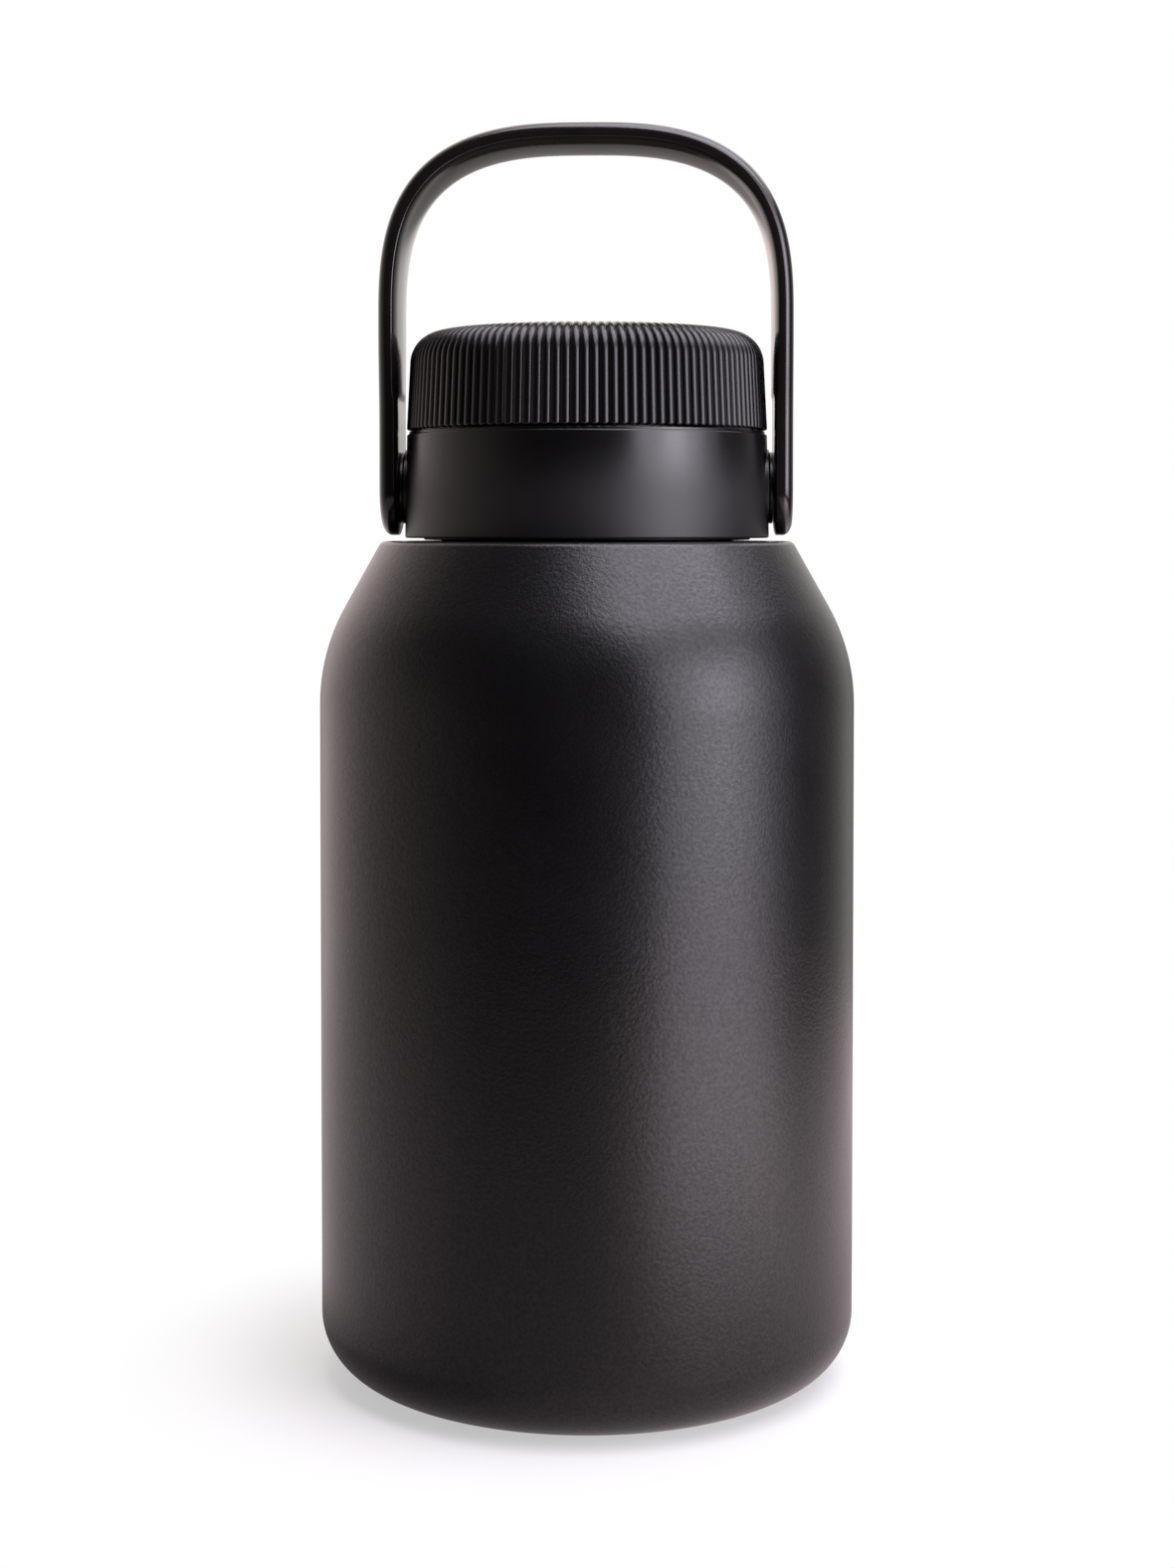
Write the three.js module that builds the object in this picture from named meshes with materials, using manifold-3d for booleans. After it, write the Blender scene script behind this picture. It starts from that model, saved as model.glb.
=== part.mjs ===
// Insulated growler: a double-wall vacuum flask with a screw-on collar, a bail handle and a
// ribbed screw cap. Millimetres, +Z up. The origin is the centre of the base, on the surface
// that the growler stands on. The handle pivots about X, and swings towards -Y or +Y.

import * as THREE from 'three';
import { mergeVertices } from 'three/addons/utils/BufferGeometryUtils.js';
import Module from 'manifold-3d';

// ---- Driving dimensions ----

const SEGMENTS = 36; // facets round every large turned piece
const SMALL_SEGMENTS = 16; // facets round screws, inserts and plugs
const FIT = 0.3; // gap between pieces that are pressed, glued or clamped together
const WELD_GAP = 0.15; // gap at a butt weld

// Flask
const BODY_RADIUS = 62.5;
const BOTTOM_CORNER = 14;
const BASE_Z = 0.4; // steel base ring, just above the pad's face
const BOTTOM_WELD_Z = 20;
const SHOULDER_Z = 168.65; // where wall and cone would meet without their fillet
const SHOULDER_FILLET = 46.9;
const LEDGE_Z = 194.45;
const LEDGE_RADIUS = 48.1;
const LEDGE_FILLET = 2;
const OUTER_WALL = 0.8;
const LINER_WALL = 0.6;
const LINER_OFFSET = 3.9; // from the flask's outside to the liner's outside
const LINER_BOTTOM_Z = 10;
const LINER_WELD_Z = 24;
const LINER_CORNER = 12;

// Neck and its thread
const NECK_RADIUS = 33.6;
const NECK_INNER_RADIUS = 31.6;
const RIM_Z = 211;
const NECK_THREAD = { lead: 5, height: 1.4, rootWidth: 2, crestWidth: 1.1, turns: 2 };
const NECK_THREAD_Z = 198;

// Base pad, evacuation port, getter and foil
const PAD_RADIUS = 41;
const RECESS_Z = 2.2;
const PORT_DIMPLE_RADIUS = 4.2;
const PORT_DIMPLE_Z = 3.4;
const PORT_RADIUS = 1.2;
const GETTER_RADIUS = 5;
const GETTER_HEIGHT = 2.6;
const GETTER_X = 22;
const FOIL_THICKNESS = 0.3;
const FOIL_TOP_Z = 150;

// Collar
const COLLAR_BOTTOM_Z = 195.2;
const COLLAR_TOP_Z = 219.3;
const COLLAR_BOTTOM_RADIUS = 42.6;
const COLLAR_TOP_RADIUS = 42.1;
const COLLAR_LIP_Z = 219.9; // recessed lip that shows as the groove under the cap
const COLLAR_LIP_RADIUS = 41.6;
const COLLAR_BORE = 38.5;
const COLLAR_FLANGE = 2.6;
const CORE_BORE = 35.5;
const DECK_THICKNESS = 3.4;
const GASKET_THICKNESS = 2.2;
const CORE_THREAD = { lead: 5, height: 1.5, rootWidth: 2, crestWidth: 1.1, turns: 2 };

// Spout
const SPOUT_RADIUS = 28.5;
const SPOUT_BORE = 25.5;
const SPOUT_TOP_Z = 232.1;
const SPOUT_THREAD = { lead: 4, height: 1.5, rootWidth: 1.7, crestWidth: 0.9, turns: 2 };
const SPOUT_THREAD_Z = 222.5;

// Cap
const CAP_BOTTOM_Z = 220.3;
const CAP_BOTTOM_RADIUS = 42.15;
const CAP_TOP_RADIUS = 41;
const CAP_EDGE_Z = 243.2;
const CAP_TOP_Z = 243.6;
const CAP_FILLET = 7.6;
const CAP_WALL = 2.3;
const CAP_LINER_BORE = 30.6;
const CAP_LINER_RADIUS = 32.8;
const CAP_LINER_DISC_Z = 234.6;
const CAP_LINER_DISC = 2;
const CAP_LINER_FLANGE_Z = 220.8;
const CAP_LINER_FLANGE = 1.4;
const CAP_GASKET_INNER = 24.5;
const CAP_GASKET_RADIUS = 30.2;
const CAP_THREAD = { lead: 4, height: 1.6, rootWidth: 1.7, crestWidth: 0.9, turns: 2 };

// Handle
const PIVOT_Z = 206.9;
const STRAP_OUTER_X = 47.95;
const STRAP_THICKNESS = 4.9;
const LOBE_THICKNESS = 4.4; // thinner below the step, where the arms face the washers
const LOBE_STEP_Z = 228; // middle of the sloping step
const LOBE_STEP_HEIGHT = 2;
const STRAP_WIDTH = 25.5;
const STRAP_TOP_Z = 290.75;
const ARCH_Z = 245; // where the straight arms end and the arch starts
const ARCH_EXPONENT = 2.85;
const ARCH_STEPS = 26;
const LOBE_RADIUS = 11.1;
const LOBE_TAPER_START = 17; // heights above the pivot between which the arm widens
const LOBE_TAPER_END = 34;
const LOBE_STEPS = 12; // facets in each quarter of a lobe's edge

// Pivots, measured outwards from the middle of the growler along X
const BOSS_RADIUS = 9;
const BOSS_FACE = 42.5;
const WASHER_RADIUS = 8.35;
const WASHER_INNER_FACE = 42.6;
const WASHER_OUTER_FACE = 43.4;
const INSERT_RADIUS = 3.6;
const INSERT_BORE = 2.25;
const INSERT_START = 38.8;
const INSERT_END = 42.3;
const INSERT_GROOVE = 0.5;
const SCREW_THREAD_RADIUS = 2;
const SCREW_TIP = 39;
const SHOULDER_RADIUS = 2.5;
const SHOULDER_START = 42.4;
const HEAD_RADIUS = 4.2;
const HEAD_START = 45.3;
const HEAD_END = 46.6;
const HEX_RADIUS = 1.7;
const HEX_DEPTH = 0.8;
const PIVOT_HOLE = 2.8;
const COUNTERBORE_RADIUS = 4.6;
const COUNTERBORE_START = 45.15;
const PLUG_RADIUS = 4.3;
const PLUG_START = 46.75;
const PLUG_END = 47.8;

// ---- Materials ----

const COATED_STEEL = { color: 0x17161a, roughness: 0.6, metalness: 0.1 };
const BARE_STEEL = { color: 0xb9b9b6, roughness: 0.32, metalness: 1 };
const BLACK_PLASTIC = { color: 0x141316, roughness: 0.42, metalness: 0 };
const SILICONE = { color: 0x2a2a2c, roughness: 0.8, metalness: 0 };
const CLEAR_SILICONE = { color: 0xd9d8d2, roughness: 0.6, metalness: 0 };
const COPPER = { color: 0xc77b4f, roughness: 0.3, metalness: 1 };
const SOLDER = { color: 0x6f7276, roughness: 0.5, metalness: 0.6 };
const BRASS = { color: 0xc9a95c, roughness: 0.35, metalness: 1 };
const FOAM = { color: 0xe9e5da, roughness: 0.95, metalness: 0 };

// ---- Solids ----

const wasm = await Module();
wasm.setup();

// Turns a closed geometry into a solid that can be joined and cut.
function solidOf(geometry) {
  const bare = geometry.clone();
  bare.deleteAttribute('normal');
  bare.deleteAttribute('uv');
  const merged = mergeVertices(bare, 1e-4);
  const corners = merged.index.array;
  const triVerts = [];
  for (let i = 0; i < corners.length; i += 3) {
    const [a, b, c] = [corners[i], corners[i + 1], corners[i + 2]];
    if (a !== b && b !== c && c !== a) {
      triVerts.push(a, b, c);
    }
  }
  return new wasm.Manifold(new wasm.Mesh({
    numProp: 3,
    vertProperties: new Float32Array(merged.attributes.position.array),
    triVerts: new Uint32Array(triVerts),
  }));
}

function geometryOf(solid) {
  const mesh = solid.getMesh();
  const geometry = new THREE.BufferGeometry();
  geometry.setAttribute('position', new THREE.Float32BufferAttribute(mesh.vertProperties, 3));
  geometry.setIndex(new THREE.Uint32BufferAttribute(mesh.triVerts, 1));
  geometry.computeVertexNormals();
  return geometry;
}

// ---- Outlines, as corners [radius, height, fillet] ----

// Moves a run of corners to its left by a distance, keeping every stretch parallel.
function offsetCorners(corners, distance) {
  const normals = [];
  for (let i = 0; i + 1 < corners.length; i += 1) {
    const dr = corners[i + 1][0] - corners[i][0];
    const dz = corners[i + 1][1] - corners[i][1];
    const length = Math.hypot(dr, dz);
    normals.push([-dz / length, dr / length]);
  }
  return corners.map(([radius, height, fillet = 0], i) => {
    const before = normals[Math.max(i - 1, 0)];
    const after = normals[Math.min(i, normals.length - 1)];
    const scale = distance / (1 + before[0] * after[0] + before[1] * after[1]);
    const turn = before[0] * after[1] - before[1] * after[0];
    const shift = [(before[0] + after[0]) * scale, (before[1] + after[1]) * scale];
    const newFillet = fillet > 0 ? Math.max(fillet - Math.sign(turn) * distance, 0) : 0;
    return [radius + shift[0], height + shift[1], newFillet];
  });
}

// The closed outline of a sheet that lies to the left of a run of corners.
function sheetOutline(corners, thickness) {
  return [...corners, ...offsetCorners(corners, thickness).reverse()];
}

// Replaces one corner by a fillet arc tangent to its two sides.
function filletPoints(previous, corner, next) {
  const [radius, height, fillet = 0] = corner;
  const point = new THREE.Vector2(radius, height);
  if (fillet === 0) {
    return [point];
  }
  const back = new THREE.Vector2(previous[0], previous[1]).sub(point).normalize();
  const forward = new THREE.Vector2(next[0], next[1]).sub(point).normalize();
  const half = Math.acos(THREE.MathUtils.clamp(back.dot(forward), -1, 1)) / 2;
  const sweep = Math.PI - 2 * half;
  const centre = back.clone().add(forward).normalize().multiplyScalar(fillet / Math.sin(half));
  centre.add(point);
  const start = point.clone().addScaledVector(back, fillet / Math.tan(half)).sub(centre);
  const direction = Math.sign(forward.clone().cross(back)) || 1;
  const steps = Math.max(2, Math.ceil(Math.sqrt(fillet) * sweep * 0.9));
  const points = [];
  for (let i = 0; i <= steps; i += 1) {
    const turned = start.clone().rotateAround(new THREE.Vector2(), direction * sweep * i / steps);
    points.push(turned.add(centre));
  }
  return points;
}

// Turns an outline about +Z. It closes on itself, or starts and ends on the axis.
function turned(corners, segments = SEGMENTS) {
  const count = corners.length;
  const points = corners.flatMap((corner, i) => filletPoints(
    corners[(i + count - 1) % count],
    corner,
    corners[(i + 1) % count],
  ));
  if (corners[0][0] > 0) {
    points.push(points[0].clone());
  }
  const geometry = new THREE.LatheGeometry(points, segments);
  return geometry.rotateX(Math.PI / 2);
}

function ring(innerRadius, outerRadius, bottom, top, segments = SEGMENTS) {
  return turned([
    [innerRadius, bottom],
    [outerRadius, bottom],
    [outerRadius, top],
    [innerRadius, top],
  ], segments);
}

function disc(radius, bottom, top, segments = SEGMENTS) {
  return turned([[0, bottom], [radius, bottom], [radius, top], [0, top]], segments);
}

// Stands a piece turned about +Z along X instead, at the height of the pivots.
function alongX(geometry, side) {
  geometry.rotateY(side * Math.PI / 2);
  return geometry.translate(0, 0, PIVOT_Z);
}

// A thread ridge: a bar of trapezoid section wound round the axis. It grows out of the wall
// at `radius`, outwards when side is 1 and inwards when side is -1, and fades out at its ends.
function threadRidge(thread, radius, side, startAngle, startZ) {
  const root = 0.35;
  const fadeTurns = 0.12;
  const { lead, height, rootWidth, crestWidth, turns } = thread;
  const section = new THREE.Shape([
    new THREE.Vector2(-rootWidth / 2, -root),
    new THREE.Vector2(rootWidth / 2, -root),
    new THREE.Vector2(crestWidth / 2, height),
    new THREE.Vector2(-crestWidth / 2, height),
  ]);
  const steps = Math.round(turns * SEGMENTS);
  const bar = new THREE.ExtrudeGeometry(section, { depth: turns, steps, bevelEnabled: false });
  if (side < 0) {
    bar.scale(-1, 1, 1);
    flipFaces(bar);
  }
  const position = bar.attributes.position;
  for (let i = 0; i < position.count; i += 1) {
    const turn = position.getZ(i);
    const fade = Math.min(1, turn / fadeTurns, (turns - turn) / fadeTurns);
    const rise = position.getY(i) > 0 ? (height + root / 2) * fade - root / 2 : -root;
    const angle = startAngle + 2 * Math.PI * turn;
    const reach = radius + side * rise;
    const z = startZ + lead * turn + position.getX(i);
    position.setXYZ(i, reach * Math.cos(angle), reach * Math.sin(angle), z);
  }
  if (side < 0) {
    flipFaces(bar);
  }
  return bar;
}

// Turns every face of an unindexed geometry inside out.
function flipFaces(geometry) {
  const position = geometry.attributes.position;
  const first = new THREE.Vector3();
  const last = new THREE.Vector3();
  for (let i = 0; i < position.count; i += 3) {
    first.fromBufferAttribute(position, i);
    last.fromBufferAttribute(position, i + 2);
    position.setXYZ(i, last.x, last.y, last.z);
    position.setXYZ(i + 2, first.x, first.y, first.z);
  }
}

// ---- Flask ----

// The outside of the flask's upper shell, from the bottom weld to the top of the neck.
function shellCorners() {
  return [
    [BODY_RADIUS, BOTTOM_WELD_Z + WELD_GAP],
    [BODY_RADIUS, SHOULDER_Z, SHOULDER_FILLET],
    [LEDGE_RADIUS, LEDGE_Z, LEDGE_FILLET],
    [NECK_RADIUS, LEDGE_Z, 1],
    [NECK_RADIUS, RIM_Z - LINER_WALL - WELD_GAP],
  ];
}

function outerShell() {
  const wall = solidOf(turned(sheetOutline(shellCorners(), OUTER_WALL)));
  const ridge = solidOf(threadRidge(NECK_THREAD, NECK_RADIUS, 1, 0, NECK_THREAD_Z));
  return geometryOf(wall.add(ridge));
}

function outerBottom() {
  return turned(sheetOutline([
    [PORT_RADIUS, PORT_DIMPLE_Z],
    [PORT_DIMPLE_RADIUS, PORT_DIMPLE_Z],
    [PORT_DIMPLE_RADIUS, RECESS_Z],
    [PAD_RADIUS, RECESS_Z],
    [PAD_RADIUS, BASE_Z],
    [BODY_RADIUS, BASE_Z, BOTTOM_CORNER],
    [BODY_RADIUS, BOTTOM_WELD_Z],
  ], OUTER_WALL));
}

// The liner follows the shell at a constant distance, then turns out over the neck's rim.
function innerLiner() {
  const [, shoulder, ledge] = offsetCorners(shellCorners(), LINER_OFFSET);
  const neckOutside = NECK_INNER_RADIUS + LINER_WALL;
  return turned(sheetOutline([
    [shoulder[0], LINER_WELD_Z + WELD_GAP],
    shoulder,
    [ledge[0], ledge[1], 2],
    [neckOutside, ledge[1], 2],
    [neckOutside, RIM_Z - LINER_WALL],
    [NECK_RADIUS, RIM_Z - LINER_WALL],
  ], LINER_WALL));
}

function innerBottom() {
  const radius = BODY_RADIUS - LINER_OFFSET;
  return turned(sheetOutline([
    [0, LINER_BOTTOM_Z],
    [radius, LINER_BOTTOM_Z, LINER_CORNER],
    [radius, LINER_WELD_Z],
  ], LINER_WALL));
}

function heatShield() {
  const inner = BODY_RADIUS - LINER_OFFSET + FIT;
  return ring(inner, inner + FOIL_THICKNESS, LINER_WELD_Z + FIT, FOIL_TOP_Z);
}

function getter() {
  const bottom = RECESS_Z + OUTER_WALL + WELD_GAP;
  const capsule = disc(GETTER_RADIUS, bottom, bottom + GETTER_HEIGHT, SMALL_SEGMENTS);
  return capsule.translate(GETTER_X, 0, 0);
}

function vacuumSeal() {
  return disc(PORT_DIMPLE_RADIUS - FIT, RECESS_Z + WELD_GAP, PORT_DIMPLE_Z - WELD_GAP, SMALL_SEGMENTS);
}

function basePad() {
  return disc(PAD_RADIUS - FIT, 0, RECESS_Z - WELD_GAP);
}

// ---- Collar ----

function collarShell() {
  const wall = turned([
    [COLLAR_BORE, COLLAR_BOTTOM_Z],
    [COLLAR_BOTTOM_RADIUS, COLLAR_BOTTOM_Z],
    [COLLAR_TOP_RADIUS, COLLAR_TOP_Z],
    [COLLAR_LIP_RADIUS, COLLAR_TOP_Z],
    [COLLAR_LIP_RADIUS, COLLAR_LIP_Z],
    [CAP_LINER_BORE, COLLAR_LIP_Z],
    [CAP_LINER_BORE, COLLAR_LIP_Z - COLLAR_FLANGE],
    [COLLAR_BORE, COLLAR_LIP_Z - COLLAR_FLANGE],
  ]);
  let shell = solidOf(wall);
  for (const side of [-1, 1]) {
    const boss = alongX(disc(BOSS_RADIUS, COLLAR_BORE + 1, BOSS_FACE, SEGMENTS), side);
    const hole = disc(INSERT_RADIUS + FIT / 2, COLLAR_BORE - 2, BOSS_FACE + 1, SMALL_SEGMENTS);
    shell = shell.add(solidOf(boss)).subtract(solidOf(alongX(hole, side)));
  }
  return geometryOf(shell);
}

// The threaded core: a sleeve on the neck, a deck over its rim and the pouring spout.
function collarCore() {
  const sleeveRadius = COLLAR_BORE - FIT;
  const sleeveBottom = LEDGE_Z + FIT;
  const deckTop = COLLAR_LIP_Z - COLLAR_FLANGE - FIT;
  const deckBottom = deckTop - DECK_THICKNESS;
  const core = solidOf(turned([
    [CORE_BORE, sleeveBottom],
    [sleeveRadius, sleeveBottom],
    [sleeveRadius, deckTop],
    [SPOUT_RADIUS, deckTop],
    [SPOUT_RADIUS, SPOUT_TOP_Z, 0.8],
    [SPOUT_BORE, SPOUT_TOP_Z, 0.8],
    [SPOUT_BORE, deckBottom],
    [CORE_BORE, deckBottom],
  ]));
  const inner = threadRidge(CORE_THREAD, CORE_BORE, -1, Math.PI, NECK_THREAD_Z);
  const outer = threadRidge(SPOUT_THREAD, SPOUT_RADIUS, 1, 0, SPOUT_THREAD_Z);
  return geometryOf(core.add(solidOf(inner)).add(solidOf(outer)));
}

function collarGasket() {
  const bottom = RIM_Z + 0.2;
  return ring(NECK_INNER_RADIUS - FIT, CORE_BORE - FIT, bottom, bottom + GASKET_THICKNESS);
}

// ---- Cap ----

function capShell() {
  const inner = CAP_BOTTOM_RADIUS - CAP_WALL;
  const innerTop = CAP_TOP_RADIUS - CAP_WALL;
  return turned([
    [0, CAP_TOP_Z - CAP_WALL],
    [innerTop, CAP_EDGE_Z - CAP_WALL, CAP_FILLET - CAP_WALL],
    [inner, CAP_BOTTOM_Z],
    [CAP_BOTTOM_RADIUS, CAP_BOTTOM_Z],
    [CAP_TOP_RADIUS, CAP_EDGE_Z, CAP_FILLET],
    [0, CAP_TOP_Z],
  ]);
}

function capLiner() {
  const flangeRadius = CAP_BOTTOM_RADIUS - CAP_WALL - FIT;
  const liner = solidOf(turned([
    [0, CAP_LINER_DISC_Z],
    [CAP_LINER_BORE, CAP_LINER_DISC_Z],
    [CAP_LINER_BORE, CAP_LINER_FLANGE_Z],
    [flangeRadius, CAP_LINER_FLANGE_Z],
    [flangeRadius, CAP_LINER_FLANGE_Z + CAP_LINER_FLANGE],
    [CAP_LINER_RADIUS, CAP_LINER_FLANGE_Z + CAP_LINER_FLANGE],
    [CAP_LINER_RADIUS, CAP_LINER_DISC_Z + CAP_LINER_DISC],
    [0, CAP_LINER_DISC_Z + CAP_LINER_DISC],
  ]));
  const ridge = threadRidge(CAP_THREAD, CAP_LINER_BORE, -1, Math.PI, SPOUT_THREAD_Z);
  return geometryOf(liner.add(solidOf(ridge)));
}

// Foam fills the space between the cap's shell and its threaded liner.
function capFoam() {
  const inner = CAP_LINER_RADIUS + FIT;
  const outer = CAP_TOP_RADIUS - CAP_WALL - FIT;
  const bottom = CAP_LINER_FLANGE_Z + CAP_LINER_FLANGE + FIT;
  const ceiling = CAP_LINER_DISC_Z + CAP_LINER_DISC + FIT;
  const top = CAP_EDGE_Z - CAP_WALL - FIT;
  return turned([
    [0, ceiling],
    [inner, ceiling],
    [inner, bottom],
    [outer, bottom],
    [outer, top, CAP_FILLET - CAP_WALL],
    [0, top],
  ]);
}

function capGasket() {
  const bottom = SPOUT_TOP_Z + 0.2;
  return ring(CAP_GASKET_INNER, CAP_GASKET_RADIUS, bottom, CAP_LINER_DISC_Z - 0.2);
}

// ---- Handle ----

// The arch, from the top of the right arm over to the left arm.
function archPoints(halfWidth, rise) {
  const points = [];
  for (let i = 0; i <= ARCH_STEPS; i += 1) {
    const angle = Math.PI * i / ARCH_STEPS;
    const across = Math.sign(Math.cos(angle)) * Math.abs(Math.cos(angle)) ** (2 / ARCH_EXPONENT);
    const up = Math.max(Math.sin(angle), 0) ** (2 / ARCH_EXPONENT);
    points.push(new THREE.Vector2(halfWidth * across, ARCH_Z + rise * up));
  }
  return points;
}

// The strap's front view, a tall U upside down, as deep as the strap is wide.
function strapFront() {
  const bottom = PIVOT_Z - LOBE_RADIUS - 1;
  const inner = STRAP_OUTER_X - STRAP_THICKNESS;
  const lobeInner = STRAP_OUTER_X - LOBE_THICKNESS;
  const stepBottom = LOBE_STEP_Z - LOBE_STEP_HEIGHT / 2;
  const stepTop = LOBE_STEP_Z + LOBE_STEP_HEIGHT / 2;
  const rise = STRAP_TOP_Z - ARCH_Z;
  const shape = new THREE.Shape([
    new THREE.Vector2(STRAP_OUTER_X, bottom),
    ...archPoints(STRAP_OUTER_X, rise),
    new THREE.Vector2(-STRAP_OUTER_X, bottom),
    new THREE.Vector2(-lobeInner, bottom),
    new THREE.Vector2(-lobeInner, stepBottom),
    new THREE.Vector2(-inner, stepTop),
    ...archPoints(inner, rise - STRAP_THICKNESS).reverse(),
    new THREE.Vector2(inner, stepTop),
    new THREE.Vector2(lobeInner, stepBottom),
    new THREE.Vector2(lobeInner, bottom),
  ]);
  const depth = STRAP_WIDTH + 2;
  const slab = new THREE.ExtrudeGeometry(shape, { depth, bevelEnabled: false });
  return slab.translate(0, 0, -depth / 2).rotateX(Math.PI / 2);
}

// The strap's side view: full width above, narrowing to a round lobe about the pivot.
function strapSide() {
  const half = STRAP_WIDTH / 2;
  const shape = new THREE.Shape();
  shape.absarc(0, PIVOT_Z, LOBE_RADIUS, Math.PI, 2 * Math.PI, false);
  shape.lineTo(LOBE_RADIUS, PIVOT_Z + LOBE_TAPER_START);
  shape.lineTo(half, PIVOT_Z + LOBE_TAPER_END);
  shape.lineTo(half, STRAP_TOP_Z + 1);
  shape.lineTo(-half, STRAP_TOP_Z + 1);
  shape.lineTo(-half, PIVOT_Z + LOBE_TAPER_END);
  shape.lineTo(-LOBE_RADIUS, PIVOT_Z + LOBE_TAPER_START);
  const depth = 2 * STRAP_OUTER_X + 2;
  const slab = new THREE.ExtrudeGeometry(shape, {
    depth,
    bevelEnabled: false,
    curveSegments: LOBE_STEPS,
  });
  return slab.translate(0, 0, -depth / 2).rotateX(Math.PI / 2).rotateZ(Math.PI / 2);
}

function handleStrap() {
  let strap = solidOf(strapFront()).intersect(solidOf(strapSide()));
  for (const side of [-1, 1]) {
    const hole = disc(PIVOT_HOLE, WASHER_INNER_FACE, STRAP_OUTER_X + 1, SMALL_SEGMENTS);
    const counterbore = disc(COUNTERBORE_RADIUS, COUNTERBORE_START, STRAP_OUTER_X + 1, SMALL_SEGMENTS);
    strap = strap.subtract(solidOf(alongX(hole, side)));
    strap = strap.subtract(solidOf(alongX(counterbore, side)));
  }
  return geometryOf(strap);
}

// ---- Pivot hardware, one of each on the left (-X) and on the right (+X) ----

function pivotWasher(side) {
  const washer = ring(
    SHOULDER_RADIUS + FIT,
    WASHER_RADIUS,
    WASHER_INNER_FACE,
    WASHER_OUTER_FACE,
    SEGMENTS,
  );
  return alongX(washer, side);
}

function pivotInsert(side) {
  const middle = (INSERT_START + INSERT_END) / 2;
  const insert = turned([
    [INSERT_BORE, INSERT_START],
    [INSERT_RADIUS, INSERT_START],
    [INSERT_RADIUS, middle - INSERT_GROOVE],
    [INSERT_RADIUS - INSERT_GROOVE, middle - INSERT_GROOVE],
    [INSERT_RADIUS - INSERT_GROOVE, middle + INSERT_GROOVE],
    [INSERT_RADIUS, middle + INSERT_GROOVE],
    [INSERT_RADIUS, INSERT_END],
    [INSERT_BORE, INSERT_END],
  ], SMALL_SEGMENTS);
  return alongX(insert, side);
}

function pivotScrew(side) {
  const screw = turned([
    [0, SCREW_TIP],
    [SCREW_THREAD_RADIUS, SCREW_TIP],
    [SCREW_THREAD_RADIUS, SHOULDER_START],
    [SHOULDER_RADIUS, SHOULDER_START],
    [SHOULDER_RADIUS, HEAD_START],
    [HEAD_RADIUS, HEAD_START],
    [HEAD_RADIUS, HEAD_END],
    [0, HEAD_END],
  ], SMALL_SEGMENTS);
  const socket = disc(HEX_RADIUS, HEAD_END - HEX_DEPTH, HEAD_END + 1, 6);
  return alongX(geometryOf(solidOf(screw).subtract(solidOf(socket))), side);
}

function pivotPlug(side) {
  return alongX(disc(PLUG_RADIUS, PLUG_START, PLUG_END, SMALL_SEGMENTS), side);
}

// ---- Assembly ----

function piece(name, geometry, finish) {
  const mesh = new THREE.Mesh(geometry, new THREE.MeshStandardMaterial(finish));
  mesh.name = name;
  return mesh;
}

const flask = new THREE.Group();
flask.add(
  piece('outer_shell', outerShell(), COATED_STEEL),
  piece('outer_bottom', outerBottom(), COATED_STEEL),
  piece('inner_liner', innerLiner(), BARE_STEEL),
  piece('inner_bottom', innerBottom(), BARE_STEEL),
  piece('heat_shield', heatShield(), COPPER),
  piece('getter', getter(), BARE_STEEL),
  piece('vacuum_seal', vacuumSeal(), SOLDER),
  piece('base_pad', basePad(), SILICONE),
);

const collar = new THREE.Group();
collar.add(
  piece('collar_gasket', collarGasket(), CLEAR_SILICONE),
  piece('collar_shell', collarShell(), BLACK_PLASTIC),
  piece('collar_core', collarCore(), BLACK_PLASTIC),
);

const handle = new THREE.Group();
handle.add(piece('handle_strap', handleStrap(), BLACK_PLASTIC));

for (const [name, side] of [['left', -1], ['right', 1]]) {
  collar.add(
    piece(`pivot_insert_${name}`, pivotInsert(side), BRASS),
    piece(`pivot_screw_${name}`, pivotScrew(side), BARE_STEEL),
    piece(`pivot_washer_${name}`, pivotWasher(side), BLACK_PLASTIC),
  );
  handle.add(piece(`pivot_plug_${name}`, pivotPlug(side), BLACK_PLASTIC));
}

const cap = new THREE.Group();
cap.add(
  piece('cap_gasket', capGasket(), CLEAR_SILICONE),
  piece('cap_liner', capLiner(), BLACK_PLASTIC),
  piece('cap_foam', capFoam(), FOAM),
  piece('cap_shell', capShell(), BLACK_PLASTIC),
);

const growler = new THREE.Group();
growler.add(flask, collar, handle, cap);

export default growler;
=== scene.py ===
"""Looks of the insulated growler: a coated flask, a satin collar, a ribbed cap and a flat bail handle.

Outlines are in millimetres and become metres when a mesh is made. Heights are above the surface
that the growler stands on, and the handle pivots about X.
"""

import math

import bpy
import numpy as np
from mathutils import Matrix, Vector


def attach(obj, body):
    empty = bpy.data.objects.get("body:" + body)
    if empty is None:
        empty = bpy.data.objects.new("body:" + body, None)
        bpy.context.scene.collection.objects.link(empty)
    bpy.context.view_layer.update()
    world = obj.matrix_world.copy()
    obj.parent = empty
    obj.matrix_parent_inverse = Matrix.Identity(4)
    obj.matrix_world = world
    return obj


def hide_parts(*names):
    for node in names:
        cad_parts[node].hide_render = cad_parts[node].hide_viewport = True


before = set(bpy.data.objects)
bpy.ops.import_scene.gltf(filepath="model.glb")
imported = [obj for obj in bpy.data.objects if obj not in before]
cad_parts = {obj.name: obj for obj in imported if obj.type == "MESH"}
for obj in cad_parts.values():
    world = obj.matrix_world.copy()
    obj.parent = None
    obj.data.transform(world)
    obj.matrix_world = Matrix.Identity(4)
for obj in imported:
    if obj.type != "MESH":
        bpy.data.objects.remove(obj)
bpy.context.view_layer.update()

MM = 0.001
SHARP_DEGREES = 32

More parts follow.
